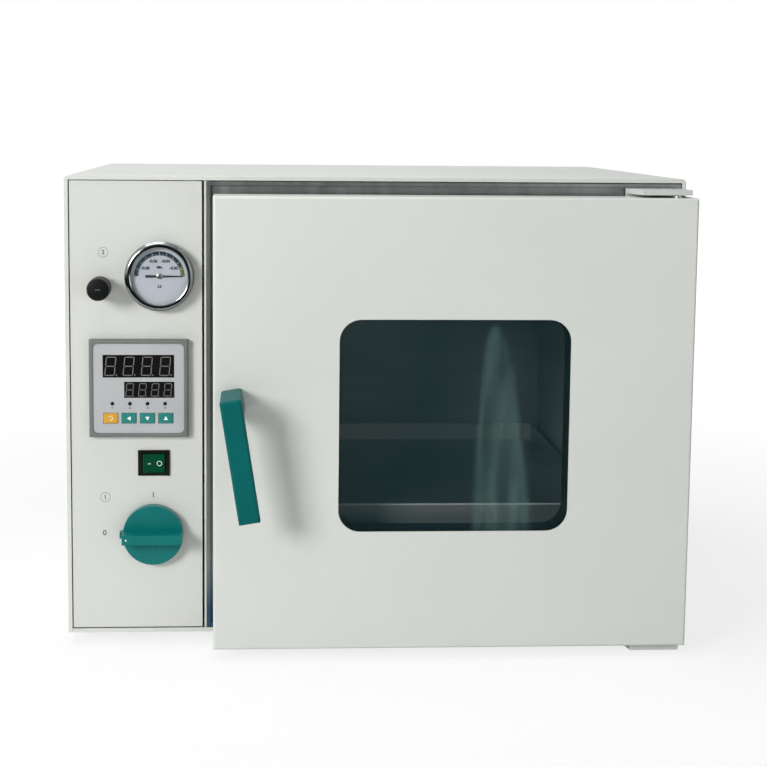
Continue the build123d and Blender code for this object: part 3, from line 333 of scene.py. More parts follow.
for maker, look, group in (
        (powderCoat, coatLook, coats), (brushedMetal, steelLook, steels),
        (mouldedPlastic, plasticLook, plastics), (mouldedPlastic, inkLook, inks),
        (tintedGlass, glassLook, glasses)):
    for name, values in group.items():
        finishes[name] = maker(name, {**look, **values})

# Finish of every node: the plain nodes and the pieces with rounded edges take it from here
nodeFinish = {
    "bodyPaint": ["casing", "base_pan", "rear_cover", "door_shell"],
    "panelPaint": ["control_panel", "partition"],
    "hingePaint": ["hinge_plates"],
    "frameSteel": ["front_frame"],
    "chamberSteel": ["chamber", "shelf_rails", "door_liner"],
    "shelfSteel": ["shelf"],
    "tunnelSteel": ["window_tunnel"],
    "partSteel": [
        "cover_screws", "chamber_ribs", "chamber_stands", "temperature_probe", "hinge_pins", "hinge_bushes",
        "latch_striker", "vacuum_nozzle", "glass_clips", "handle_spindle", "latch_claw", "valve_stem"],
    "heaterMat": ["heater_pads"],
    "mineralWool": ["insulation_slabs", "door_insulation"],
    "silicone": ["door_seal"],
    "chrome": ["gauge_bezel"],
    "clearGlass": ["gauge_lens"],
    "doorGlass": ["door_glass"],
    "windowGlass": ["window_pane"],
    "blackPlastic": [
        "gauge_case", "controller_case", "switch_housing", "cable_gland", "fuse_holder",
        "solid_state_relay", "terminal_block", "vent_knob"],
    "dialPaint": ["gauge_dial"],
    "bezelPlastic": ["controller_bezel"],
    "faciaFilm": ["controller_facia"],
    "displayFilm": ["display_upper", "display_lower"],
    "lampLens": ["indicator_lamps"],
    "brass": ["vacuum_valve", "vent_valve"],
    "copper": ["vacuum_lines", "air_lines"],
    "leverPlastic": ["handle_lever"],
    "knobPlastic": ["vacuum_knob"],
    "rockerPlastic": ["rocker"],
    "orangeKey": ["key_set"],
    "tealKey": ["key_shift", "key_down", "key_up"],
    "darkInk": ["gauge_needle"],
    "rubber": ["feet"],
}
finishOf = {node: finish for finish, names in nodeFinish.items() for node in names}
bodyOf = {node: body for body, names in frame["record"]["behaviour"]["bodies"].items() for node in names}
for name, piece in nodes.items():
    piece.data.materials.clear()
    piece.data.materials.append(finishes[finishOf[name]])
print("finishes made:", len(finishes))


def keepMesh(name, mesh, finish, like, *nodesReplaced):  # like is the node whose body it takes
    mesh.name = name
    mesh.materials.clear()
    mesh.materials.append(finishes[finish])
    piece = bpy.data.objects.new(name, mesh)
    bpy.context.scene.collection.objects.link(piece)
    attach(piece, bodyOf[like])
    if nodesReplaced:
        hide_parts(*nodesReplaced)
    return piece


def shapeMesh(shape, matrix=None, smoothAngle=35):  # bmesh to mesh, normals outwards
    bmesh.ops.remove_doubles(shape, verts=shape.verts, dist=1e-7)
    if matrix:
        bmesh.ops.transform(shape, matrix=matrix, verts=shape.verts)
    bmesh.ops.recalc_face_normals(shape, faces=shape.faces)
    mesh = bpy.data.meshes.new("shape")
    shape.to_mesh(mesh)
    shape.free()
    mesh.shade_smooth()
    mesh.set_sharp_from_angle(angle=radians(smoothAngle))
    return mesh


def faceFront(x, y, z):  # drawn in XY with +Z towards the user, put on the front at y
    return Matrix.Translation((x, y, z)) @ Matrix.Rotation(pi / 2, 4, "X")


def faceRear(x, y, z):
    turn = Matrix.Rotation(pi, 4, "Z") @ Matrix.Rotation(pi / 2, 4, "X")
    return Matrix.Translation((x, y, z)) @ turn


def skinRings(shape, rings, closeStart=True, closeEnd=True):
    loops = [[shape.verts.new(point) for point in ring] for ring in rings]
    for first, second in zip(loops, loops[1:]):
        for i in range(len(first)):
            j = (i + 1) % len(first)
            shape.faces.new((first[i], first[j], second[j], second[i]))
    if closeStart:
        shape.faces.new(loops[0][::-1])
    if closeEnd:
        shape.faces.new(loops[-1])


def circleRing(radius, height, sides=64):
    turns = [2 * pi * i / sides for i in range(sides)]
    return [Vector((radius * cos(turn), radius * sin(turn), height)) for turn in turns]


def nodeShape(node):  # the node's own mesh with its vertices merged
    shape = bmesh.new()
    shape.from_mesh(nodes[node].data)
    bmesh.ops.remove_doubles(shape, verts=shape.verts, dist=1e-6)
    return shape


def roundedCopy(name, node, finish, width, segments, angle=32):  # the node's shape with its edges rounded
    shape = nodeShape(node)
    bmesh.ops.dissolve_limit(shape, angle_limit=radians(1), verts=shape.verts, edges=shape.edges)
    mesh = bpy.data.meshes.new(name)
    shape.to_mesh(mesh)
    shape.free()
    mesh.shade_smooth()
    piece = keepMesh(name, mesh, finish, node, node)
    edges = piece.modifiers.new("roundEdges", "BEVEL")
    edges.width, edges.segments = width, segments
    edges.limit_method, edges.angle_limit = "ANGLE", radians(angle)
    normals = piece.modifiers.new("flatFaces", "WEIGHTED_NORMAL")  # large faces stay flat beside the rounding
    normals.weight = 100


cameraValues = {
    "place": (-0.1142, -1.6448, 0.5143), "yaw": -2.951, "pitch": -6.277, "roll": -0.470,
    "lens": 71.15, "sensor": 36.0, "shift": (0.06, -0.12), "clip": (0.05, 50),
}


def aimCamera(values):
    data = bpy.data.cameras.new("studioCamera")
    data.lens, data.sensor_width = values["lens"], values["sensor"]
    data.shift_x, data.shift_y = values["shift"]
    data.clip_start, data.clip_end = values["clip"]
    camera = bpy.data.objects.new("studioCamera", data)
    yaw, pitch, roll = (Matrix.Rotation(radians(values[key]), 3, axis) for key, axis in (
        ("yaw", "Z"), ("pitch", "X"), ("roll", "Y")))
    right, ahead, up = (yaw @ pitch @ roll).col
    axes = Matrix((right, up, -ahead)).transposed().to_4x4()
    camera.matrix_world = Matrix.Translation(values["place"]) @ axes
    bpy.context.scene.collection.objects.link(camera)
    bpy.context.scene.camera = camera
    bpy.context.scene.view_settings.view_transform = "Standard"


aimCamera(cameraValues)
print("camera set")


studio = {
    "floorSize": 30, "floorColour": (0.82, 0.82, 0.82), "glow": 1.06, "glowShare": 0.75,
    "glowReach": (0.5, 1.5),  # m from the middle, where the floor turns wholly white for the camera
    "floorTurn": -0.62,  # nearer the user than this the floor is dark in reflections
    "worldLight": 0.22, "worldColour": (0.97, 1.0, 0.985),
    "darkSide": (0.010, 0.018, 0.020), "darkCone": (-0.80, -0.60),
    "rightShade": (0.10, 0.12, 0.12), "rightCone": (0.15, 0.60),
    "lamps": {
        "keyLamp": {
            "place": (-1.75, -2.2, 1.10), "size": (0.80, 0.80), "power": 51, "colour": (1.0, 1.0, 0.97)},
        "fillLamp": {
            "place": (1.5, -2.3, 0.25), "size": (1.6, 1.0), "power": 9.5, "colour": (0.97, 1.0, 1.0)},
        "topLamp": {
            "place": (-0.6, -0.2, 2.2), "size": (1.2, 1.2), "power": 21, "colour": (1.0, 1.0, 1.0)},
    },
    "aim": (0.0, -0.1, 0.22),
}


def layFloor(values):
    shape = bmesh.new()
    half = values["floorSize"] / 2
    corners = ((-half, -half), (half, -half), (half, half), (-half, half))
    shape.faces.new([shape.verts.new((x, y, 0)) for x, y in corners])
    mesh = bpy.data.meshes.new("floor")
    shape.to_mesh(mesh)
    shape.free()
    floor = bpy.data.objects.new("floor", mesh)
    bpy.context.scene.collection.objects.link(floor)
    material = bpy.data.materials.new("paleFloor")
    material.use_nodes = True
    graph = Graph(material.node_tree)
    matt = graph.node("ShaderNodeBsdfDiffuse", {}, {"Color": (*values["floorColour"], 1)})
    glow = graph.node("ShaderNodeEmission", {}, {"Color": (1, 1, 1, 1), "Strength": values["glow"]})
    away = graph.node("ShaderNodeVectorMath", {"operation": "LENGTH"}, {0: graph.here()}, output=1)
    share = values["glowShare"] + (1 - values["glowShare"]) * graph.between(away, *values["glowReach"])
    pale = graph.node("ShaderNodeMixShader", {}, {0: graph.ray("Camera") * share, 1: matt, 2: glow})
    dark = graph.node("ShaderNodeEmission", {}, {"Color": (*values["darkSide"], 1), "Strength": 1.0})
    mirrored = graph.ray("Glossy") * (graph.axis("Y") < values["floorTurn"])
    surface = graph.node("ShaderNodeMixShader", {}, {0: mirrored, 1: pale, 2: dark})
    graph.node("ShaderNodeOutputMaterial", {}, {"Surface": surface})
    mesh.materials.append(material)


def lightWorld(values):
    world = bpy.data.worlds.new("studioWorld")
    bpy.context.scene.world = world
    world.use_nodes = True
    graph = Graph(world.node_tree)
    toRight, toUser = (graph.axis(letter, "Generated") for letter in "XY")  # the ray's own direction
    mirrored = graph.blend(graph.between(toRight, *values["rightCone"]), (1, 1, 1), values["rightShade"])
    mirrored = graph.blend(graph.between(toUser, *values["darkCone"]), values["darkSide"], mirrored)
    soft = tuple(values["worldLight"] * part for part in values["worldColour"])
    colour = graph.blend(graph.ray("Glossy"), soft, mirrored)
    seen = graph.ray("Camera")
    white = seen.math("MAXIMUM", seen, graph.ray("Transmission"))
    colour = graph.blend(white, colour, (1, 1, 1))
    background = graph.node("ShaderNodeBackground", {}, {"Color": colour, "Strength": 1.0})
    graph.node("ShaderNodeOutputWorld", {}, {"Surface": background})


def hangLamps(values):
    for name, lamp in values["lamps"].items():
        data = bpy.data.lights.new(name, "AREA")
        data.shape, (data.size, data.size_y) = "RECTANGLE", lamp["size"]
        data.energy, data.color = lamp["power"], lamp["colour"]
        holder = bpy.data.objects.new(name, data)
        holder.location = lamp["place"]
        aim = Vector(values["aim"]) - holder.location
        holder.rotation_euler = aim.to_track_quat("-Z", "Y").to_euler()
        bpy.context.scene.collection.objects.link(holder)


layFloor(studio)
lightWorld(studio)
hangLamps(studio)
print("studio lit")


# Geometry Nodes for what repeats
def growTree(name, inputs, build):  # build(graph, given) gives the grown shape
    tree = bpy.data.node_groups.new(name, "GeometryNodeTree")
    for label, kind in {**inputs, "Finish": "Material"}.items():
        tree.interface.new_socket(label, in_out="INPUT", socket_type="NodeSocket" + kind)
    tree.interface.new_socket("Grown", in_out="OUTPUT", socket_type="NodeSocketGeometry")
    graph = Graph(tree)
    outputs = graph.node("NodeGroupInput").socket.node.outputs
    given = {label: Wire(graph, outputs[label]) for label in (*inputs, "Finish")}
    real = graph.node("GeometryNodeRealizeInstances", {}, {0: build(graph, given)})
    graph.node("NodeGroupOutput", {}, {0: graph.node("GeometryNodeSetMaterial", {}, {
        "Geometry": real, "Material": given["Finish"]})})
    return tree


def putOnPoints(graph, points, shape, **sockets):
    return graph.node("GeometryNodeInstanceOnPoints", {}, {"Points": points, "Instance": shape, **sockets})


def pointRow(graph, count, step):
    return graph.node("GeometryNodeMeshLine", {"mode": "OFFSET"}, {"Count": count, "Offset": step})


def buildRing(graph, given):  # the shape turned about +Z, Count times
    points = pointRow(graph, given["Count"], (0, 0, 0))
    turn = graph.node("ShaderNodeCombineXYZ", {}, {"Z": given["Step"] * graph.node("GeometryNodeInputIndex")})
    return putOnPoints(graph, points, given["Shape"], Rotation=turn)


def buildRow(graph, given):  # the shape moved by Step, Count times
    return putOnPoints(graph, pointRow(graph, given["Count"], given["Step"]), given["Shape"])


def buildSpread(graph, given):  # another object's shape on each point
    shape = graph.node("GeometryNodeObjectInfo", {}, {"Object": given["Pattern"]}, output="Geometry")
    return putOnPoints(graph, given["Shape"], shape)


ringTree = growTree("aroundAxis", {"Shape": "Geometry", "Count": "Int", "Step": "Float"}, buildRing)
rowTree = growTree("alongRow", {"Shape": "Geometry", "Count": "Int", "Step": "Vector"}, buildRow)
spreadTree = growTree("onPoints", {"Shape": "Geometry", "Pattern": "Object"}, buildSpread)


def plainMesh(data, modifiedBy=None, **values):  # an object's evaluated shape as a plain mesh
    holder = bpy.data.objects.new("growing", data)
    bpy.context.scene.collection.objects.link(holder)
    if modifiedBy:
        modifier = holder.modifiers.new("grow", "NODES")
        modifier.node_group = modifiedBy
        for item in modifiedBy.interface.items_tree:
            if item.in_out == "INPUT" and item.name in values:
                modifier[item.identifier] = values[item.name]
    evaluated = holder.evaluated_get(bpy.context.evaluated_depsgraph_get())
    mesh = bpy.data.meshes.new_from_object(evaluated)
    holder.modifiers.clear()
    bpy.data.objects.remove(holder)
    return mesh


def keepGrown(name, base, tree, finish, matrix, like, *nodesReplaced, **values):  # values go to the tree
    mesh = plainMesh(base, tree, Finish=finishes[finish], **values)
    mesh.transform(matrix)
    return keepMesh(name, mesh, finish, like, *nodesReplaced)


def keepSpread(name, pattern, places, finish, like, *nodesReplaced):  # a copy of the pattern at each place
    holder = bpy.data.objects.new("pattern", pattern)
    bpy.context.scene.collection.objects.link(holder)
    points = bpy.data.meshes.new("points")
    points.from_pydata(places, [], [])
    keepGrown(name, points, spreadTree, finish, Matrix(), like, *nodesReplaced, Pattern=holder)
    bpy.data.objects.remove(holder)


def islandCentres(node):  # the middle of each separate solid of a node
    shape = nodeShape(node)
    waiting, centres = set(shape.verts), []
    while waiting:
        found, edge = set(), [waiting.pop()]
        while edge:
            vert = edge.pop()
            found.add(vert)
            for link in vert.link_edges:
                other = link.other_vert(vert)
                if other in waiting:
                    waiting.remove(other)
                    edge.append(other)
        low = Vector(min(v.co[i] for v in found) for i in range(3))
        high = Vector(max(v.co[i] for v in found) for i in range(3))
        centres.append((low + high) / 2)
    shape.free()
    return sorted(centres, key=tuple)


def turnedMesh(profile, matrix, sides=64, closed=False, smoothAngle=35):  # (radius, height) in mm, about +Z
    shape = bmesh.new()
    rings = [circleRing(radius * mm, height * mm, sides) for radius, height in profile]
    if closed:
        rings.append(rings[0])
    skinRings(shape, rings, not closed, not closed)
    return shapeMesh(shape, matrix, smoothAngle)


def plateMesh(outlines, low, high, matrix=None):  # flat shapes in mm, from height low to high
    shape = bmesh.new()
    for outline in outlines:
        rings = [[Vector((x * mm, y * mm, height * mm)) for x, y in outline] for height in (low, high)]
        skinRings(shape, rings)
    return shapeMesh(shape, matrix)


def arcOutline(inner, outer, first, last, steps=48):
    angles = [radians(first + (last - first) * step / steps) for step in range(steps + 1)]
    outside = [(outer * cos(a), outer * sin(a)) for a in angles]
    return outside + [(inner * cos(a), inner * sin(a)) for a in reversed(angles)]


def ringOutlines(inner, outer, steps=48):  # a whole ring in two halves
    return [arcOutline(inner, outer, first, first + 180, steps) for first in (0, 180)]


def boxOutline(x, y, width, height):
    corners = ((-1, -1), (1, -1), (1, 1), (-1, 1))
    return [(x + sx * width / 2, y + sy * height / 2) for sx, sy in corners]


def wordMesh(words, size, x, y, matrix, weight=0.0, depth=0.05):  # printed figures, centred on x and y in mm
    curve = bpy.data.curves.new("words", "FONT")
    curve.body, curve.size, curve.extrude, curve.offset = words, size * mm, depth * mm, weight * mm
    curve.align_x, curve.align_y = "CENTER", "CENTER"
    curve.resolution_u = 4
    mesh = plainMesh(curve)
    mesh.transform(matrix @ Matrix.Translation((x * mm, y * mm, 0)))
    return mesh


def joinMeshes(meshes):
    shape = bmesh.new()
    for mesh in meshes:
        shape.from_mesh(mesh)
    joined = bpy.data.meshes.new("joined")
    shape.to_mesh(joined)
    shape.free()
    return joined


def centreOf(node):
    low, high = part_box(node)
    return (low + high) / 2


# Sheet metal, mouldings and plates that keep their own shape and get rounded edges
roundedPieces = {  # node: name, edge radius in mm, segments
    "casing": ("caseWrap", 0.4, 2),
    "rear_cover": ("rearPanel", 0.3, 1),
    "control_panel": ("frontPanel", 0.3, 1),
    "partition": ("partitionSheet", 0.4, 2),
    "front_frame": ("stainlessFrame", 0.4, 2),
    "door_shell": ("doorShell", 0.35, 2),
    "door_liner": ("doorLiner", 0.3, 1),
    "door_seal": ("sealCord", 2.5, 4),
    "hinge_plates": ("hingePlates", 0.8, 3),
    "shelf": ("shelfTray", 0.35, 2),
    "shelf_rails": ("shelfRails", 0.35, 2),
    "handle_lever": ("leverHandle", 1.8, 4),
    "vacuum_knob": ("valveKnob", 0.9, 3),
    "latch_claw": ("latchClaw", 0.4, 2),
    "controller_bezel": ("controllerFrame", 0.8, 3),
    "controller_facia": ("controllerFacia", 0.25, 2),
    "key_set": ("setKey", 1.0, 3),
    "key_shift": ("shiftKey", 1.0, 3),
    "key_down": ("downKey", 1.0, 3),
    "key_up": ("upKey", 1.0, 3),
    "switch_housing": ("switchHousing", 0.5, 3),
    "rocker": ("rockerCap", 0.6, 3),
    "window_pane": ("windowPane", 0.4, 2),
    "door_glass": ("innerGlass", 0.8, 2),
}
for node, (name, width, segments) in roundedPieces.items():
    roundedCopy(name, node, finishOf[node], width * mm, segments)
print("edges rounded:", len(roundedPieces))


# In the dictionaries of the pieces, lengths are in mm, angles in degrees, and profiles (radius, height)
shelfHem = {"height": 1.7, "proud": 0.35, "sunk": 0.1, "setIn": 1.5, "skin": 0.2, "sheet": 1.2, "steps": 8}


def makeShelfHem(values):  # rolled hems on the front and back flanges, in a near-white steel that is a painted highlight, and skins over the flanges: the back one in that painted-highlight steel, the front one in polished steel
    low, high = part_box("shelf")
    floor = (low.z + high.z) / 2  # the tray's floor is between its two flanges
    hem, sunk, setIn, sheet = (values[key] * mm for key in ("height", "sunk", "setIn", "sheet"))
    back = high.y - sheet
    turns = [pi * step / values["steps"] - pi / 2 for step in range(values["steps"] + 1)]
    profile = [(values["proud"] * mm * cos(turn) - sunk, hem / 2 * sin(turn)) for turn in turns]
    for name, face, middle in (("frontHem", low.y, floor - hem / 2), ("backHem", back, high.z - hem / 2)):
        shape = bmesh.new()
        ends = (low.x + setIn, high.x - setIn)
        skinRings(shape, [[Vector((x, face - out, middle + up)) for out, up in profile] for x in ends])
        # the hems are painted highlights
        keepMesh(name, shapeMesh(shape), "edgeSteel", "shelf")
    centre, length = (low.x + high.x) / 2, high.x - low.x - 2 * setIn
    for name, finish, face, bottom, top in (
            ("frontFlange", "polishedSteel", low.y, low.z, floor - hem),
            # the back flange's skin is a painted highlight
            ("backFlange", "edgeSteel", back, floor + sheet, high.z - hem)):
        outline = boxOutline(centre / mm, (bottom + top) / 2 / mm, length / mm, (top - bottom) / mm)
        skin = plateMesh([outline], -values["sunk"], values["skin"], faceFront(0, face, 0))
        keepMesh(name, skin, finish, "shelf")


makeShelfHem(shelfHem)


def frontAt(spot, node):  # on the front face of the node, in line with the spot
    return faceFront(spot.x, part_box(node)[0].y, spot.z)


gauge = {
    "ring": [
        (27.3, 12.6), (27.4, 13.2), (28.3, 13.8), (29.6, 14.0), (31.3, 13.6), (32.6, 12.6), (33.1, 11.2),
        (32.9, 10.6), (33.6, 9.9), (33.6, 1.2), (33.3, 0.2), (28.6, 0.2), (28.6, 12.6)],
    "ringSides": 96, "bandRadii": (20.2, 24.2), "bandEnd": 26, "inkLevels": (-0.1, 0.05),
    "ticks": {"minorTicks": (51, 0.16, 1.5), "majorTicks": (11, 0.40, 3.2)},  # how many, width, length
    "tickProud": 0.09,
    "figures": {"-0.08": 150, "-0.06": 112, "-0.04": 68, "-0.02": 30},  # words: angle round the dial
    "figureRadius": 15.8, "figureSize": 4.0, "weight": 0.22,
    "smallPrint": {"MPa": (0, 8.6), "2.5": (0, -10.0)}, "smallSize": 3.2,
    "needle": [(-13.5, 1.3), (-2.9, 1.04), (2.9, 1.0), (22.5, 0.45)],  # along it, half its width there
    "needleLevels": (0.55, 0.85),
    "hub": [(2.9, 0.35), (2.9, 1.0), (2.32, 1.3), (0.87, 1.45)], "hubSides": 32,
}


def makeGauge(values):
    centre = centreOf("gauge_bezel")
    back = faceFront(centre.x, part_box("gauge_bezel")[1].y, centre.z)
    ring = turnedMesh(values["ring"], back, values["ringSides"], closed=True)
    keepMesh("gaugeRing", ring, "chrome", "gauge_bezel", "gauge_bezel")
    dial = frontAt(centre, "gauge_dial")
    inner, outer = values["bandRadii"]
    for name, finish, first, last in (
            ("scaleBand", "bandInk", values["bandEnd"], 180),
            ("scaleBandEnd", "bandEndInk", 0, values["bandEnd"])):
        band = plateMesh([arcOutline(inner, outer, first, last)], *values["inkLevels"], dial)
        keepMesh(name, band, finish, "gauge_dial")
    for name, (count, width, length) in values["ticks"].items():
        tick = plateMesh([boxOutline(inner + length / 2, 0, length, width)], 0, values["tickProud"])
        keepGrown(name, tick, ringTree, "dialPaint", dial, "gauge_dial", Count=count, Step=pi / (count - 1))
    figures = []
    for words, angle in values["figures"].items():
        x, y = (values["figureRadius"] * side(radians(angle)) for side in (cos, sin))
        figures.append(wordMesh(words, values["figureSize"], x, y, dial, values["weight"]))
    for words, place in values["smallPrint"].items():
        figures.append(wordMesh(words, values["smallSize"], *place, dial, values["weight"]))
    keepMesh("dialFigures", joinMeshes(figures), "darkInk", "gauge_dial")
    lower = [(along, -half) for along, half in values["needle"]]
    upper = [(along, half) for along, half in reversed(values["needle"])]
    needle = plateMesh([lower + upper], *values["needleLevels"], dial)
    keepMesh("needleBlade", needle, "darkInk", "gauge_needle", "gauge_needle")
    hub = turnedMesh(values["hub"], dial, values["hubSides"])
    keepMesh("needleHub", hub, "partSteel", "gauge_needle")


digitLook = {  # gap is a share of the stroke, and dotPlace counts the dot's radii
    "count": 4, "slant": 0.10, "gap": 0.35, "dotPlace": 2.2, "dotSides": 12, "levels": (-0.1, 0.05),
}
digits = {
    "upperFigures": {
        **digitLook, "node": "display_upper", "pitch": 17.6, "width": 10.1, "height": 18.8,
        "stroke": 0.95, "dot": 0.75, "left": 1.4, "bottom": 1.6},
    "lowerFigures": {
        **digitLook, "node": "display_lower", "pitch": 12.3, "width": 7.4, "height": 13.0,
        "stroke": 0.75, "dot": 0.45, "left": 0.9, "bottom": 1.3},
}
lampLook = {
    "dome": [(1.9, 0), (1.9, 0.2), (1.6, 0.42), (1.0, 0.55), (0.3, 0.6)], "sides": 24, "smoothAngle": 60,
    "figureSize": 2.8, "drop": 4.2, "weight": 0.12,
}
keyMarks = {
    "arrows": {"upMark": ("key_up", 0), "shiftMark": ("key_shift", 90), "downMark": ("key_down", 180)},
    "arrowSize": 4.2, "arrowBase": 0.75, "levels": (-0.3, 0.12),
    "ringRadii": (1.3, 2.4), "ringTurn": (-120, 120), "ringSteps": 24,
    "ringPoint": [(-2.6, 1.85), (-0.6, 3.1), (-0.6, 0.6)],
}


def digitMesh(values):  # one unlit seven-segment figure with its point, from its lower left corner
    width, height, stroke, dot = (values[key] for key in ("width", "height", "stroke", "dot"))
    gap, middle = stroke * values["gap"], height / 2
    flat, tall = width - 2 * stroke - gap, middle - stroke - gap
    bars = [boxOutline(width / 2, y, flat, stroke) for y in (stroke / 2, middle, height - stroke / 2)]
    for x in (stroke / 2, width - stroke / 2):
        bars += [boxOutline(x, y, stroke, tall) for y in (middle / 2, middle * 1.5)]
    point, sides = width + dot * values["dotPlace"], values["dotSides"]
    turns = [2 * pi * i / sides for i in range(sides)]
    bars.append([(point + dot * cos(turn), dot * (1 + sin(turn))) for turn in turns])
    slanted = [[(x + values["slant"] * y, y) for x, y in bar] for bar in bars]
    return plateMesh(slanted, *values["levels"])


def makeDigits(rows):
    for name, values in rows.items():
        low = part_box(values["node"])[0]
        corner = faceFront(low.x + values["left"] * mm, low.y, low.z + values["bottom"] * mm)
        step = (values["pitch"] * mm, 0, 0)
        keepGrown(
            name, digitMesh(values), rowTree, "segmentGrey", corner, values["node"],
            Count=values["count"], Step=step)


def makeLamps(values):
    node = "indicator_lamps"
    lamps = islandCentres(node)
    first = faceFront(lamps[0].x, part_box(node)[1].y, lamps[0].z)
    dome = turnedMesh(values["dome"], None, values["sides"], smoothAngle=values["smoothAngle"])
    step = ((lamps[-1].x - lamps[0].x) / (len(lamps) - 1), 0, 0)
    keepGrown("lampLenses", dome, rowTree, "lampLens", first, node, node, Count=len(lamps), Step=step)
    front = frontAt(Vector(), "controller_facia")
    figures = []
    for number, lamp in enumerate(lamps, 1):
        x, z = lamp.x / mm, lamp.z / mm - values["drop"]
        figures.append(wordMesh(str(number), values["figureSize"], x, z, front, values["weight"]))
    keepMesh("lampFigures", joinMeshes(figures), "darkInk", "controller_facia")


def makeKeyMarks(values):
    size = values["arrowSize"] / 2
    base = -size * values["arrowBase"]
    arrow = [(-size, base), (size, base), (0, size)]
    for name, (node, turn) in values["arrows"].items():
        matrix = frontAt(centreOf(node), node) @ Matrix.Rotation(radians(turn), 4, "Z")
        keepMesh(name, plateMesh([arrow], *values["levels"], matrix), "whiteInk", node)
    ring = arcOutline(*values["ringRadii"], *values["ringTurn"], values["ringSteps"])
    matrix = frontAt(centreOf("key_set"), "key_set")
    mark = plateMesh([ring, values["ringPoint"]], *values["levels"], matrix)
    keepMesh("setMark", mark, "creamInk", "key_set")


switchMarks = {
    "barPlace": -4.2, "bar": (3.1, 0.65), "ringPlace": 5.6, "ringRadii": (2.0, 2.5), "ringSteps": 20,
    "levels": (-0.1, 0.1), "rayStart": 5,
}


def makeSwitchMarks(values):  # each mark lies on the rocker's slanted face
    low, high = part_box("rocker")
    middle, up = (low + high) / 2, Vector((0, 0, 1))
    mesh = nodes["rocker"].data
    surface = BVHTree.FromPolygons([v.co for v in mesh.vertices], [p.vertices for p in mesh.polygons])
    for name, x, outlines in (
            ("offMark", values["ringPlace"], ringOutlines(*values["ringRadii"], values["ringSteps"])),
            ("onMark", values["barPlace"], [boxOutline(0, 0, *values["bar"])])):
        start = Vector((middle.x + x * mm, low.y - values["rayStart"] * mm, middle.z))
        place, normal, _, _ = surface.ray_cast(start, Vector((0, 1, 0)))
        matrix = Matrix((up.cross(normal).normalized(), up, normal)).transposed().to_4x4()
        matrix.translation = place
        keepMesh(name, plateMesh(outlines, *values["levels"], matrix), "whiteInk", "rocker")


panelMarks = {
    "dotRadius": 0.85, "dotInset": 4.6, "dotLevels": (-0.1, 0.08), "dotSides": 20,
    "figures": {"0": (-48, 0), "I": (0, 38)}, "figureSize": 7.5, "weight": 0.20,  # round the vacuum knob
    "titles": {"1": ("valve_stem", -47, 36), "2": ("vent_knob", 2, 33)}, "titleSize": 6.0,
    "titleRing": (4.5, 4.9), "levels": (-0.05, 0.05),
}


def makePanelMarks(values):
    low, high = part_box("vacuum_knob")
    centre = centreOf("valve_stem")
    pointer = faceFront(2 * centre.x - high.x + values["dotInset"] * mm, low.y, centre.z)
    profile = [(values["dotRadius"], level) for level in values["dotLevels"]]
    keepMesh("pointerDot", turnedMesh(profile, pointer, values["dotSides"]), "whiteInk", "vacuum_knob")
    panel = frontAt(centre, "control_panel")
    figures = []
    for words, place in values["figures"].items():
        figures.append(wordMesh(words, values["figureSize"], *place, panel, values["weight"]))
    for words, (node, x, z) in values["titles"].items():
        title = frontAt(centreOf(node) + Vector((x * mm, 0, z * mm)), "control_panel")
        figures.append(wordMesh(words, values["titleSize"], 0, 0, title, values["weight"]))
        figures.append(plateMesh(ringOutlines(*values["titleRing"]), *values["levels"], title))
    keepMesh("valveFigures", joinMeshes(figures), "greyInk", "control_panel")


ventKnob = {
    "body": [(9.9, 8), (10.5, 8.4), (10.5, 32.6), (9.7, 33.6), (8.9, 33.9), (0.5, 33.9)], "bodySides": 64,
    "neck": [(7.0, 0), (7.0, 8.5)], "neckSides": 40,
    "ribs": 30, "rib": (0.55, 0.45), "ribTop": 0.35, "ribEnds": (8.8, 32.4), "ribSunk": 0.1,
    "slot": (5.2, 0.7), "slotLevels": (33.8, 33.98),
}


def makeVentKnob(values):
    matrix = frontAt(centreOf("vent_knob"), "control_panel")
    body = turnedMesh(values["body"], matrix, values["bodySides"])
    keepMesh("ventBody", body, "blackPlastic", "vent_knob", "vent_knob")
    neck = turnedMesh(values["neck"], matrix, values["neckSides"])
    keepMesh("ventNeck", neck, "blackPlastic", "vent_knob")
    width, height = values["rib"]
    top = width * values["ribTop"]
    waist = values["body"][1][0]
    root, crest = waist - values["ribSunk"], waist + height
    outline = [(root, -width), (crest, -top), (crest, top), (root, width)]
    rib, count = plateMesh([outline], *values["ribEnds"]), values["ribs"]
    step = 2 * pi / count
    keepGrown("ventRibs", rib, ringTree, "blackPlastic", matrix, "vent_knob", Count=count, Step=step)
    slot = plateMesh([boxOutline(0, 0, *values["slot"])], *values["slotLevels"], matrix)
    keepMesh("ventSlot", slot, "greyInk", "vent_knob")


coverScrew = {
    "head": [(4.0, 0), (4.0, 0.7), (3.5, 1.5), (2.5, 2.0), (1.2, 2.15)], "sides": 28, "smoothAngle": 50,
    "slot": (5.2, 0.9), "slotLevels": (1.0, 2.2),
}


def makeScrews(values):
    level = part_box("cover_screws")[0].y
    places = [Vector((place.x, level, place.z)) for place in islandCentres("cover_screws")]
    turn = faceRear(0, 0, 0)
    head = turnedMesh(values["head"], turn, values["sides"], smoothAngle=values["smoothAngle"])
    slots = [boxOutline(0, 0, *size) for size in (values["slot"], values["slot"][::-1])]
    cross = joinMeshes([plateMesh([slot], *values["slotLevels"], turn) for slot in slots])
    keepSpread("screwHeads", head, places, "partSteel", "cover_screws", "cover_screws")
    # the dark cross is painted shade where a cross recess would be
    keepSpread("screwCrosses", cross, places, "darkInk", "cover_screws")


foot = {
    "body": [(14.0, 0), (15.2, 0.6), (16.0, 2.2), (15.4, 4.0), (14.6, 8.0), (14.0, 12.0)],
    "sides": 48, "smoothAngle": 40,
}


def makeFeet(values):
    places = [Vector((place.x, place.y, 0)) for place in islandCentres("feet")]
    body = turnedMesh(values["body"], None, values["sides"], smoothAngle=values["smoothAngle"])
    keepSpread("rubberFeet", body, places, "rubber", "feet", "feet")


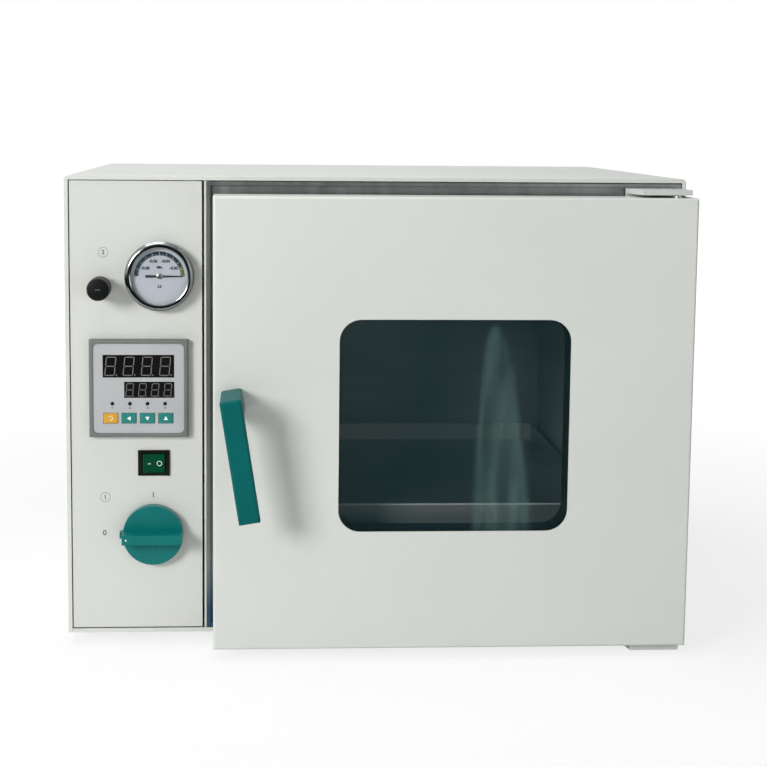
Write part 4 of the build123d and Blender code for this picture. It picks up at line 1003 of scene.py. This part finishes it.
rearFittings = {
    "coverSheet": 1.2, "sides": 48, "smoothAngle": 30,
    "nut": [(10.34, 0), (11.0, 0.48), (11.0, 3.52), (10.23, 4.0)], "nutSides": 6, "nutSmoothAngle": 20,
    "nozzle": [
        (4.6, 32), (5.0, 31.2), (4.2, 26), (5.0, 25.6), (4.2, 20.4), (5.0, 20), (4.2, 14.8), (5.0, 14.4),
        (5.0, 4), (3.0, 4), (3.0, 32)],
    "gland": [
        (8.0, 3.5), (8.0, 7.0), (8.6, 7.4), (8.6, 12.0), (7.4, 13.6), (4.4, 14.0), (4.0, 13.0), (4.0, 3.5)],
    "glandRibs": 18, "glandRib": [(8.4, -0.5), (9.0, -0.3), (9.0, 0.3), (8.4, 0.5)],
    "glandRibEnds": (7.6, 11.8),
    "fuse": [(9.0, 0), (9.0, 3.0), (8.2, 3.6), (8.2, 7.4), (7.6, 8.0), (0.5, 8.0)],
    "fuseSlot": (9.0, 1.6), "fuseSlotLevels": (7.8, 8.05),
}


def makeRearFittings(values):
    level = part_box("rear_cover")[0].y + values["coverSheet"] * mm
    sides, smoothAngle = values["sides"], values["smoothAngle"]
    for name, finish, node, profile, closed, nut in (
            ("hoseBarb", "partSteel", "vacuum_nozzle", values["nozzle"], True, "nozzleNut"),
            ("glandCap", "blackPlastic", "cable_gland", values["gland"], True, "glandNut"),
            ("fuseCap", "blackPlastic", "fuse_holder", values["fuse"], False, None)):
        spot = centreOf(node)
        matrix = faceRear(spot.x, level, spot.z)
        keepMesh(name, turnedMesh(profile, matrix, sides, closed, smoothAngle), finish, node, node)
        if nut:
            nutMesh = turnedMesh(values["nut"], matrix, values["nutSides"], False, values["nutSmoothAngle"])
            keepMesh(nut, nutMesh, finish, node)
        if node == "cable_gland":
            rib, count = plateMesh([values["glandRib"]], *values["glandRibEnds"]), values["glandRibs"]
            keepGrown("glandRibs", rib, ringTree, finish, matrix, node, Count=count, Step=2 * pi / count)
    slot = plateMesh([boxOutline(0, 0, *values["fuseSlot"])], *values["fuseSlotLevels"], matrix)
    keepMesh("fuseSlot", slot, "greyInk", "fuse_holder")


makeGauge(gauge)
makeDigits(digits)
makeLamps(lampLook)
makeKeyMarks(keyMarks)
makeSwitchMarks(switchMarks)
makePanelMarks(panelMarks)
print("front controls dressed")
makeVentKnob(ventKnob)
makeScrews(coverScrew)
makeFeet(foot)
makeRearFittings(rearFittings)
print("knob, screws, feet and rear fittings made")
